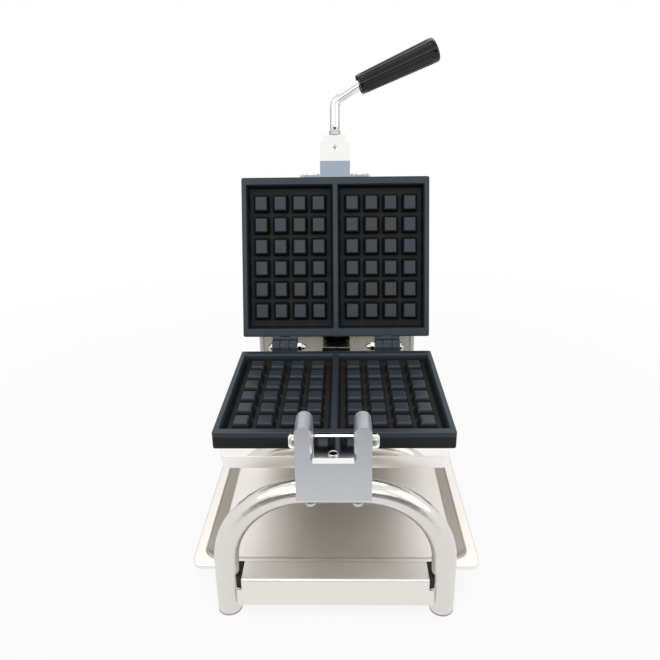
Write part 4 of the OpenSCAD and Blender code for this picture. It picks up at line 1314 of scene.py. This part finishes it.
@dataclass
class Handle:
    """Crank handle: a bent chromed rod, its lock nut and a fluted moulded grip.

    Distances along Y are from the plates' front edge, and turns are from straight ahead towards +X.
    """

    layout: Layout
    tab_end: float = -53.0
    rod: float = 12.0
    neck: float = 8.0
    rod_height: float = 6.5
    bend_at: float = -96.0
    rod_turn: float = 57.0
    grip_turn: float = 66.0
    bend_radius: float = 12.0
    run: float = 38.0
    grip_length: float = 107.0
    grip_start: float = 25.0
    grip_end: float = 31.0
    near_round: float = 1.8
    far_round: float = 3.8
    flutes: int = 16
    flute_depth: float = 1.1

    @property
    def place(self) -> Place:
        """From the closed lid's frame, with the rod's axis at height 0, to the open lid."""
        return self.layout.opened.after(Place(shift=np.array([0.0, 0.0, self.rod_height])))

    def heading(self, degrees: float) -> np.ndarray:
        """Direction in the lid's plane.

        Args:
            degrees: Turn from -Y towards +X.

        Returns:
            The unit vector's X and Y.
        """
        a = math.radians(degrees)
        return np.array([math.sin(a), -math.cos(a)])

    def rod_skin(self) -> Patch:
        """The rod: straight out, a round bend, a straight run and a slight angle inside the grip's mouth.

        Its radius is the neck's inside the lid's tab, and rises to the rod's own beyond the thread.

        Returns:
            The skin.
        """
        into_tab, into_grip, slight_bend = 11.0, 0.4 * self.grip_length, 8.0
        start, first = (0.0, self.tab_end + into_tab), np.array([0.0, self.bend_at])
        second = first + self.run * self.heading(self.rod_turn)
        end = second + into_grip * self.heading(self.grip_turn)
        path = bent_path([start, first, second, end], [self.bend_radius, slight_bend])
        past_tab, shoulder = 7.5, 1.5
        shank = soft_ramp((self.tab_end - past_tab - path[:, 1]) / shoulder, 0.3, 0.3)
        radius = (self.neck + (self.rod - self.neck) * np.clip(shank, 0, 1)) / 2
        points = np.concatenate([path, np.zeros((len(path), 1))], axis=1)
        return sweep(points, np.array([0.0, 0.0, 1.0]), radius, around=48)

    def thread(self) -> Patch:
        """Thread on the rod's neck, as a helix of one start.

        The radius is the root's plus the thread's depth times a triangle wave of the turns at that place.

        Returns:
            The skin.
        """
        pitch, turns, root, deep, rows_per_turn, into_tab = 1.25, 9, 3.55, 0.5, 8, 3.0
        a = circle(36)
        rows = np.linspace(0, turns * pitch, turns * rows_per_turn + 1)
        phase = rows[:, None] / pitch - a[None, :] / (2 * np.pi)
        radius = root + deep * (1 - np.abs(2 * (phase % 1.0) - 1))
        y = (self.tab_end + into_tab - rows)[:, None] + 0 * a
        return tube(np.stack([radius * np.cos(a), y, radius * np.sin(a)], axis=2))

    def grip_skin(self) -> Patch:
        """The grip: a taper whose radius dips along its flutes and rounds off at both ends.

        At angle a and distance s the radius is R(s) - depth(s) * g(a). R rises evenly from the start to the
        end and falls over a quarter circle at both ends, g is 1 in a flute's middle and 0 on the narrow
        lands, and depth fades out before the ends.

        Returns:
            The skin.
        """
        length, near_end, far_end, fading = self.grip_length, 3.0, 5.0, 7.0
        groove_share, groove_swing = 0.2, 1.1
        s = np.concatenate([
            self.near_round * (1 - np.cos(np.linspace(0, np.pi / 2, 9))),
            np.linspace(near_end + 0.5, length - far_end, 44),
            length - self.far_round * (1 - np.sin(np.linspace(0, np.pi / 2, 11))),
        ])
        a = circle(self.flutes * 16)
        body = (self.grip_start + (self.grip_end - self.grip_start) * s / length) / 2
        for distance, curve in ((s, self.near_round), (length - s, self.far_round)):
            body = body - curve * (1 - np.sqrt(1 - np.clip(1 - distance / curve, 0, 1) ** 2))
        fade = soft_ramp((s - near_end) / fading, 0.3, 0.3)
        fade = fade * soft_ramp((length - far_end - s) / fading, 0.3, 0.3)
        groove = soft_ramp(groove_share + groove_swing * np.cos(a * self.flutes), 0.5, 0.5)
        radius = body[:, None] - self.flute_depth * fade[:, None] * groove[None, :]
        mouth_radius = self.rod / 2 + np.array([0.1, 1.9])
        mouth_depth = np.array([6.0, 0.0])
        radius = np.concatenate([mouth_radius[:, None] + 0 * a, radius])
        return revolve(radius, np.concatenate([mouth_depth, s]), len(a))

    def build(self) -> None:
        """Makes the rod, its thread, and the grip, and rounds the lock nut's edges."""
        rod, thread = (surface([part], self.place) for part in (self.rod_skin(), self.thread()))
        make_piece("crank_rod", rod, "lid", CHROME, ["handle_rod"], 50)
        make_piece("rod_thread", thread, "lid", CHROME, (), 25)
        run_end = np.array([0.0, self.bend_at]) + self.run * self.heading(self.rod_turn)
        start = run_end - self.heading(self.grip_turn)
        turn = turned("Z", self.grip_turn) @ turned("X", 90)
        place = self.place.after(Place(turn, np.array([start[0], start[1], 0.0])))
        grip = surface([self.grip_skin()], place)
        make_piece("fluted_grip", grip, "lid", PHENOLIC, ["handle_grip"], 60)
        softened("rod_lock_nut", FASTENER, 0.5)


# ---------------------------------------------------------------- latch and its screws


@dataclass
class LatchGear:
    """Folded latch arms with their flanges, domed cross-head screws, the locating pin and its bush.

    Distances along Y are from the plates' front edge, and heights from the parting plane.
    """

    layout: Layout
    screw_places: tuple[float, ...] = (-39.0, -24.5, 24.5, 39.0)
    flange: float = 2.5
    flange_level: float = -8.1
    head: float = 9.6
    head_height: float = 3.4
    shank: float = 4.8
    fold: float = 0.9
    # Width of the painted blue-grey reflection on the upper arm beside its flange
    tint: float = 18.0
    pin_behind: float = -37.4
    bore: float = 6.6
    bore_floor: float = -5.0
    bush_head: float = 10.0
    neck: float = 6.8
    head_foot: float = -1.2
    dome: float = 2.3

    def screw(self, x: float) -> Patch:
        """A domed head with a cross recess, and its shank.

        The head's height at radius r and angle a is that of a flat dome, h * sqrt(1 - 0.9 (r / R)^2), less
        the recess: two crossed slots with sloping sides that end past half the radius.

        Args:
            x: The screw's place across the flange.

        Returns:
            The skin.
        """
        slot_width, slot_slope, slot_end, slot_deep, flatness = 1.7, 0.5, 0.56, 1.7, 0.9
        end_slope, seat, rim, shank_end = 0.6, 0.97, 0.25, -8.0
        radius = self.head / 2
        r = np.concatenate([[POLE], np.linspace(0.25, 0.6, 8) * radius, np.linspace(0.65, 1.0, 8) * radius])
        r, a = r[:, None], circle(64)[None, :]
        from_slot = np.minimum(np.abs(r * np.cos(a)), np.abs(r * np.sin(a)))
        slot = soft_ramp((slot_width / 2 - from_slot) / slot_slope, 0.2, 0.2)
        slot = slot * soft_ramp((slot_end * radius - r) / end_slope, 0.2, 0.2)
        dome = self.head_height * np.sqrt(1 - flatness * (r / radius) ** 2) - slot_deep * slot
        under = np.array([radius, radius * seat, self.shank / 2, self.shank / 2])
        below = np.array([rim, 0.0, 0.0, shank_end])[:, None]
        skin = revolve(np.concatenate([r[:, 0], under]), np.concatenate([dome, below + 0 * a]), a.size)
        outwards = Place(turned("X", 90), np.array([x, -self.flange, self.flange_level]))
        skin.points = outwards(skin.points)
        return skin

    def bush(self) -> Patch:
        """The bush: a turned shape with a domed head, whose crest is half an ellipse, and a blind bore.

        Returns:
            The skin.
        """
        crest, skin = np.linspace(0, np.pi, 15), 0.3
        middle, half = (self.bush_head + self.bore) / 4, (self.bush_head - self.bore) / 4
        neck, floor = self.neck / 2, self.bore_floor
        radius = np.concatenate([[POLE, neck, neck], middle + half * np.cos(crest), [self.bore / 2, POLE]])
        dome = self.head_foot + self.dome * np.sin(crest)
        level = np.concatenate([[floor - skin, floor - skin, self.head_foot - skin], dome, [floor, floor]])
        return revolve(radius, level)

    def bore_lining(self) -> Patch:
        """A dark lining of painted shade in the bush's bore: a blind cup of revolution that widens over the
        crest.

        Returns:
            The skin.
        """
        shade_film, flare, top, floor, base = 0.2, 0.15, 0.5, self.bore_floor + 0.05, 0.15
        outer, inner = self.bore / 2, self.bore / 2 - shade_film
        radius = np.array([POLE, outer, outer + flare, inner + flare, inner, POLE])
        return revolve(radius, np.array([floor, floor, top, top, floor + base, floor + base]))

    def sheet_with_painted_reflection(self) -> Finish:
        """The bright sheet with a painted blue-grey reflection beside the upper flange.

        Returns:
            The finish.
        """
        ends = np.array([[0.0, 1.0, 0.0], [0.0, -self.flange - self.tint, 0.0]])
        # The band is a painted blue-grey reflection
        band = Band("#a2aebb", *stretch(self.layout.opened(ends)))
        return replace(MIRROR_SHEET, name="stainless_with_painted_reflection", band=band)

    def build(self) -> None:
        """Rounds the folded arms, makes the screws, the bush and its lining, and dresses the pin."""
        for half, body, place in lid_and_base(self.layout):
            sheet = self.sheet_with_painted_reflection() if half == "upper" else MIRROR_SHEET
            softened(f"{half}_latch_arm", sheet, self.fold, segments=3)
            screws = surface([self.screw(x) for x in self.screw_places], place)
            packed = [f"{half}_latch_screws"]
            make_piece(f"{half}_flange_screws", screws, body, FASTENER, packed, 40)
        place = self.layout.closed.after(Place(shift=np.array([0.0, self.pin_behind, 0.0])))
        bush, lining = (surface([part], place) for part in (self.bush(), self.bore_lining()))
        make_piece("domed_bush", bush, "head", FASTENER, ["locating_bush"], 50)
        # The bore's lining is painted shade
        make_piece("bush_bore_painted_shade", lining, "head", PAINTED_SHADE_LINING)
        dress("locating_pin", FASTENER)


# ---------------------------------------------------------------- front stand


@dataclass
class FrontStand:
    """Tube hoop with its plugs, the folded crossbar and its pads, the fork and its bolts, and the rails."""

    layout: Layout
    tube: float = 25.0
    span: float = 222.5
    bend: float = 85.0
    top: float = 147.5
    foot: float = 3.0
    behind: float = -20.0

    def hoop(self) -> Patch:
        """The tube, swept along two legs, two bends and a short flat top.

        Returns:
            The skin.
        """
        half = self.span / 2
        corners = [(-half, self.foot), (-half, self.top), (half, self.top), (half, self.foot)]
        path = bent_path(corners, [self.bend, self.bend])
        points = np.stack([path[:, 0], np.full(len(path), self.behind), path[:, 1]], axis=1)
        return sweep(points, np.array([0.0, 1.0, 0.0]), np.full(len(path), self.tube / 2), around=64)

    def build(self) -> None:
        """Makes the hoop and dresses what it carries."""
        hoop = surface([self.hoop()], self.layout.level)
        make_piece("bent_hoop", hoop, "stand", POLISHED_TUBE, ["front_hoop"], 60)
        softened("fork_cradle", SATIN_ALUMINIUM, 0.8, segments=3)
        softened("front_crossbar", HAIRLINE_X, 0.4)
        softened("crossbar_pads", RUBBER, 0.7)
        softened("fork_bolts", FASTENER, 0.5)
        dress("hoop_foot_plugs", POLYETHYLENE)
        dress("base_rails", HAIRLINE_Y)


# ---------------------------------------------------------------- drip tray


@dataclass
class DripTray:
    """Pressed tray with a flat rim, a turned-down hem and sloping walls.

    The front and rear walls lean further than the side walls. Its start and end are distances behind the
    plates' front edge.
    """

    layout: Layout
    width: float = 308.0
    start: float = -2.0
    end: float = 274.0
    rim_height: float = 39.5
    rim: float = 12.0
    hem: float = 5.0
    floor: float = 19.5
    lean_x: float = 5.5
    lean_y: float = 17.5
    sheet: float = 1.0
    floor_from: float = 60.0
    corners: tuple[float, float, float, float] = (12.0, 16.0, 14.0, 4.0)

    def shell(self) -> Patch:
        """Closed shell: rings of round-cornered rectangles from the floor out over the rim, and back below.

        A ring's width and length come from its inset across the side walls. Over the walls the inset along Y
        grows faster, because the front and rear walls lean more.

        Returns:
            The shell.
        """
        t, rim, top, start = self.sheet, self.rim, self.rim_height, self.floor_from
        low, hem, inner = self.floor + t, self.rim_height - self.hem, self.rim + self.lean_x
        beside = t * 0.8
        over = rounded_profile(
            [(start, low), (inner, low), (rim, top), (0, top), (0, hem)], [5.0, 2.6, 1.6], steps=7
        )
        under = rounded_profile(
            [(t, hem), (t, top - t), (rim + beside, top - t), (inner + beside, low - t), (start, low - t)],
            [0.6, 1.6, 6.0], steps=5,
        )
        profile = np.concatenate([over, under])
        inset, level = profile[:, 0], profile[:, 1]
        bends = [0, rim, inner, start]
        inset_y = np.interp(inset, bends, [0, rim, rim + self.lean_y, start + self.lean_y])
        radius = np.interp(inset, bends, self.corners)
        length = self.end - self.start
        plan = round_rectangle(self.width - 2 * inset, length - 2 * inset_y, radius, arc=12)
        plan[..., 1] += (self.start + self.end) / 2
        return tube(levelled(plan, level))

    def build(self) -> None:
        """Makes the tray."""
        shell = surface([self.shell()], self.layout.level)
        make_piece("pressed_tray", shell, "tray", TRAY_SHEET, ["drip_tray"], 50)


# ---------------------------------------------------------------- turning gear behind the plates


@dataclass
class TurningGear:
    """Shaft, its arm, bearing block, bush, collar and pedestal, and the plates' hinge bolts.

    A painted shade darkens the arm from shade_film[0] to shade_film[1] along Y, and fades out over
    shade_fade.
    """

    edge: float = 0.6
    # Span along Y of the painted shade on the arm, and the width over which it fades
    shade_film: tuple[float, float] = (60.0, 112.0)
    shade_fade: float = 26.0

    def build(self) -> None:
        """Rounds the welded arm and the hinge fasteners, and dresses the rest."""
        # Painted shade on the arm, which sits in the shade between the hinges behind the plates
        shade_film = Band("#0a0c10", (0.0, 1.0, 0.0), *self.shade_film, self.shade_fade)
        shade_painted_sheet = replace(MIRROR_SHEET, name="stainless_with_painted_shade", band=shade_film)
        softened("shaft_arm", shade_painted_sheet, self.edge)
        softened("hinge_bolts", FASTENER, 0.5)
        softened("hinge_nuts", FASTENER, 0.4)
        dress("shaft_bush", BRONZE)
        dress("shaft_pedestal", HAIRLINE_Z_PAINTED_SHADE)
        for node in ("trunnion_block", "turning_shaft", "shaft_collar"):
            dress(node, TURNED_STEEL)
        for node in ("arm_bolts", "lower_casing_bolts", "upper_casing_bolts"):
            dress(node, FASTENER)


@dataclass
class HeatingParts:
    """Heating tubes, wool mats and probes, which lie sealed in the pans."""

    def build(self) -> None:
        """Dresses the parts of both halves."""
        for half in ("lower", "upper"):
            dress(f"{half}_heater", HEAT_SHEATH)
            dress(f"{half}_insulation", MINERAL_WOOL)
            dress(f"{half}_sensor", TURNED_STEEL)


# ---------------------------------------------------------------- rear housing


@dataclass
class RearHousing:
    """Sheet housing with its panels, feet, screws, controls and cable gland.

    Each dial's scale has ticks from tick_inner out to tick_outer, and every fifth is a long one.
    """

    wall: float = 109.0
    tick_inner: float = 22.5
    tick_outer: float = 26.5
    tick_width: float = 0.9
    tick_short: float = 1.6
    ink: float = 0.06
    sunk: float = 0.02
    ticks: int = 11

    def scale(self, joint: str) -> list[Patch]:
        """Radial ticks as thin plates on the right-hand wall.

        The ticks share out the dial's whole turn, evenly from upright towards the operator.

        Args:
            joint: Name of the dial's joint.

        Returns:
            The plates.
        """
        centre, turn = hinge_joint(joint)
        centre = centre * [0, 1, 1]
        plates = []
        for k, a in enumerate(np.linspace(0, math.radians(turn), self.ticks)):
            out = np.array([0.0, -math.sin(a), math.cos(a)])
            side = np.array([0.0, math.cos(a), math.sin(a)]) * self.tick_width / 2
            start, end = self.tick_inner * out, (self.tick_outer - (self.tick_short if k % 5 else 0)) * out
            flat = centre + np.stack([start - side, start + side, end + side, end - side])
            depths = (self.wall - self.sunk, self.wall + self.ink)
            plates.append(tube(np.stack([flat + [depth, 0, 0] for depth in depths])))
        return plates

    def build(self) -> None:
        """Dresses the sheet parts and the controls, and prints the dials' scales."""
        for node in ("rear_housing", "housing_back", "housing_floor"):
            softened(node, HAIRLINE_Z_PAINTED_SHADE, 0.35, limit_degrees=50)
        dress("rear_feet", RUBBER)
        softened("housing_screws", FASTENER, 0.35)
        for node in ("thermostat_knob", "timer_knob"):
            softened(node, PHENOLIC, 0.5, limit_degrees=35)
        for node in ("thermostat_spindle", "timer_spindle"):
            dress(node, TURNED_STEEL)
        for node in ("thermostat_body", "timer_body"):
            dress(node, UREA)
        softened("switch_body", MATT_ABS, 0.4)
        softened("switch_rocker", RED_ROCKER, 0.4)
        dress("mains_lamp", GREEN_LENS)
        dress("heat_lamp", AMBER_LENS)
        softened("cable_gland", MATT_ABS, 0.5)
        dress("terminal_block", STEATITE)
        ticks = surface(self.scale("thermostat_turn") + self.scale("timer_turn"), Place())
        make_piece("dial_scales", ticks, "stand", INK)


# ---------------------------------------------------------------- studio


@dataclass
class Studio:
    """Camera at the photograph's viewing angle, a plain pale floor, soft lamps and grey cards.

    The camera's place is in millimetres, its angles in degrees. floor_white is the share of plain white in
    the floor near the iron and far off, and floor_even gives both distances in metres. A lamp is its name,
    its place and size in metres, and its watts. A card is its name, its grey, half its width, and the Y and Z
    of its first and its last edge, in metres.
    """

    place_mm: tuple[float, float, float] = (10.57, -725.74, 515.56)
    yaw: float = -1.37
    pitch: float = 21.164
    roll: float = -0.8
    lens: float = 34.53
    floor_size: float = 8.0
    floor_colour: str = "#f3f3f1"
    floor_white: tuple[float, float] = (0.86, 1.0)
    floor_even: tuple[float, float] = (0.35, 1.3)
    sky: float = 0.62
    aim: tuple[float, float, float] = (0.0, 0.0, 0.22)
    lamps: tuple = (
        ("key_softbox", (-0.9, -1.0, 1.5), (1.2, 0.9), 6.0),
        ("fill_softbox", (1.3, -0.7, 1.0), (1.0, 1.0), 3.0),
        ("top_softbox", (0.1, 0.6, 1.8), (1.4, 0.8), 8.0),
        ("front_softbox", (0.0, -1.8, 1.0), (1.5, 0.5), 4.0),
    )
    cards: tuple = (
        ("front_card", "#6d6a66", 1.6, (-1.9, 0.02), (-1.9, 0.75)),
        ("near_card", "#2c2c2c", 0.5, (-1.3, 0.003), (-0.66, 0.003)),
        ("back_card", "#3a3a3a", 2.6, (1.6, 0.003), (1.6, 0.62)),
    )

    def camera(self) -> None:
        """Sets the camera: looking along yaw and pitch, then rolled about its line of sight."""
        yaw, pitch, roll = (math.radians(v) for v in (self.yaw, self.pitch, self.roll))
        ahead = Vector((math.sin(yaw) * math.cos(pitch), math.cos(yaw) * math.cos(pitch), -math.sin(pitch)))
        right = Vector((math.cos(yaw), -math.sin(yaw), 0.0))
        up = right.cross(ahead)
        side = right * math.cos(roll) + up * math.sin(roll)
        top = up * math.cos(roll) - right * math.sin(roll)
        data = bpy.data.cameras.new("camera")
        data.lens = self.lens
        data.sensor_width = 36.0
        data.sensor_fit = "HORIZONTAL"
        data.clip_start = 0.01
        camera = new_object("camera", data)
        turn = Matrix((side, top, -ahead)).transposed().to_4x4()
        camera.matrix_world = Matrix.Translation(Vector(self.place_mm) * MM) @ turn
        bpy.context.scene.camera = camera

    @staticmethod
    def bright_rays(tree: bpy.types.NodeTree) -> Socket:
        """Tells rays that may see plain white from those that only light the iron.

        Args:
            tree: The nodes of the floor or the world.

        Returns:
            A socket that is 1 for the camera's rays and those that a mirror or a lens passes on, otherwise 0.
        """
        ray = add(tree, "ShaderNodeLightPath").outputs
        sources = {0: ray["Is Camera Ray"], 1: ray["Is Glossy Ray"]}
        seen = add(tree, "ShaderNodeMath", sources, operation="ADD")
        sources = {0: seen.outputs[0], 1: ray["Is Transmission Ray"]}
        return add(tree, "ShaderNodeMath", sources, operation="ADD", use_clamp=True).outputs[0]

    def floor(self) -> None:
        """Lays a large matt floor at the worktop's height, which looks white and keeps a soft shadow.

        The share of plain white rises with the distance from the iron, so that the floor meets the backdrop
        without a line.
        """
        half = self.floor_size / 2
        mesh = bpy.data.meshes.new("floor")
        outline = [(-half, -half, 0), (half, -half, 0), (half, half, 0), (-half, half, 0)]
        mesh.from_pydata(outline, [], [(0, 1, 2, 3)])
        material = bpy.data.materials.new("matt_white_board")
        tree = empty_tree(material)
        board = add(tree, "ShaderNodeBsdfDiffuse", in_Color=srgb(self.floor_colour))
        white = add(tree, "ShaderNodeEmission", in_Color=(1.0, 1.0, 1.0, 1.0), in_Strength=1.0)
        place = add(tree, "ShaderNodeTexCoord").outputs["Object"]
        reach = add(tree, "ShaderNodeVectorMath", {0: place}, operation="LENGTH").outputs["Value"]
        (near, far), (least, most) = self.floor_even, self.floor_white
        whiter = add(
            tree, "ShaderNodeMapRange", {"Value": reach}, interpolation_type="SMOOTHSTEP",
            in_1=near, in_2=far, in_3=least, in_4=most,
        )
        bright = self.bright_rays(tree)
        share = add(tree, "ShaderNodeMath", {0: bright, 1: whiter.outputs[0]}, operation="MULTIPLY")
        layers = {0: share.outputs[0], 1: board.outputs[0], 2: white.outputs[0]}
        mix = add(tree, "ShaderNodeMixShader", layers)
        add(tree, "ShaderNodeOutputMaterial", {"Surface": mix.outputs[0]})
        mesh.materials.append(material)
        floor = new_object("floor", mesh)
        floor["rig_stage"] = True

    def world(self) -> None:
        """White to the camera, to reflections and through glass, and an even soft light on matt surfaces."""
        world = bpy.data.worlds.new("studio")
        tree = empty_tree(world)
        soft = add(tree, "ShaderNodeBackground", in_Color=srgb("#f7f8fa"), in_Strength=self.sky)
        white = add(tree, "ShaderNodeBackground", in_Color=(1.0, 1.0, 1.0, 1.0), in_Strength=1.0)
        bright = self.bright_rays(tree)
        mix = add(tree, "ShaderNodeMixShader", {0: bright, 1: soft.outputs[0], 2: white.outputs[0]})
        add(tree, "ShaderNodeOutputWorld", {"Surface": mix.outputs[0]})
        bpy.context.scene.world = world

    def lamp(self, name: str, at: Sequence[float], size: tuple[float, float], watts: float) -> None:
        """Adds a soft rectangular lamp that looks at the iron's middle.

        Args:
            name: The lamp's name.
            at: Its place.
            size: Its width and height.
            watts: Its power.
        """
        data = bpy.data.lights.new(name, "AREA")
        data.shape = "RECTANGLE"
        data.size, data.size_y = size
        data.energy = watts
        lamp = new_object(name, data)
        lamp.location = at
        ahead = Vector(self.aim) - Vector(at)
        lamp.rotation_euler = ahead.to_track_quat("-Z", "Y").to_euler()

    @staticmethod
    def card(name: str, grey: str, half: float, first: Sequence[float], last: Sequence[float]) -> None:
        """Puts up a grey card outside the view, which only reflections see, as in a product studio.

        Args:
            name: The card's name.
            grey: Its sRGB hex colour.
            half: Half its width along X.
            first: Y and Z of its first edge.
            last: Y and Z of its last edge.
        """
        mesh = bpy.data.meshes.new(name)
        mesh.from_pydata([(-half, *first), (half, *first), (half, *last), (-half, *last)], [], [(0, 1, 2, 3)])
        material = bpy.data.materials.new(f"{name}_card")
        material.use_nodes = True
        shader = material.node_tree.nodes["Principled BSDF"]
        shader.inputs["Base Color"].default_value = srgb(grey)
        shader.inputs["Roughness"].default_value = 1.0
        mesh.materials.append(material)
        card = new_object(name, mesh)
        card.visible_camera = card.visible_shadow = card.visible_diffuse = False
        card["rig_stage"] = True

    def build(self) -> None:
        """Builds the studio."""
        self.camera()
        self.floor()
        self.world()
        for lamp in self.lamps:
            self.lamp(*lamp)
        for card in self.cards:
            self.card(*card)
        bpy.context.scene.view_settings.view_transform = "Standard"


def corners(box: tuple[Vector, Vector]) -> list[list[float]]:
    """Turns a box into plain numbers.

    Args:
        box: Its lowest and highest corners.

    Returns:
        The same as two lists.
    """
    return [[float(v) for v in corner] for corner in box]


def main() -> None:
    """Builds the studio and the sub-assemblies in order."""
    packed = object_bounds()
    layout = Layout.read()
    Studio().build()
    plates = CastPlates(layout)
    plates.build()
    Casings(layout, plates).build()
    HeatingParts().build()
    LatchGear(layout).build()
    Handle(layout).build()
    FrontStand(layout).build()
    DripTray(layout).build()
    TurningGear().build()
    RearHousing().build()
    {"packed": corners(packed), "dressed": corners(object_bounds())}


if __name__ == "__main__":
    main()
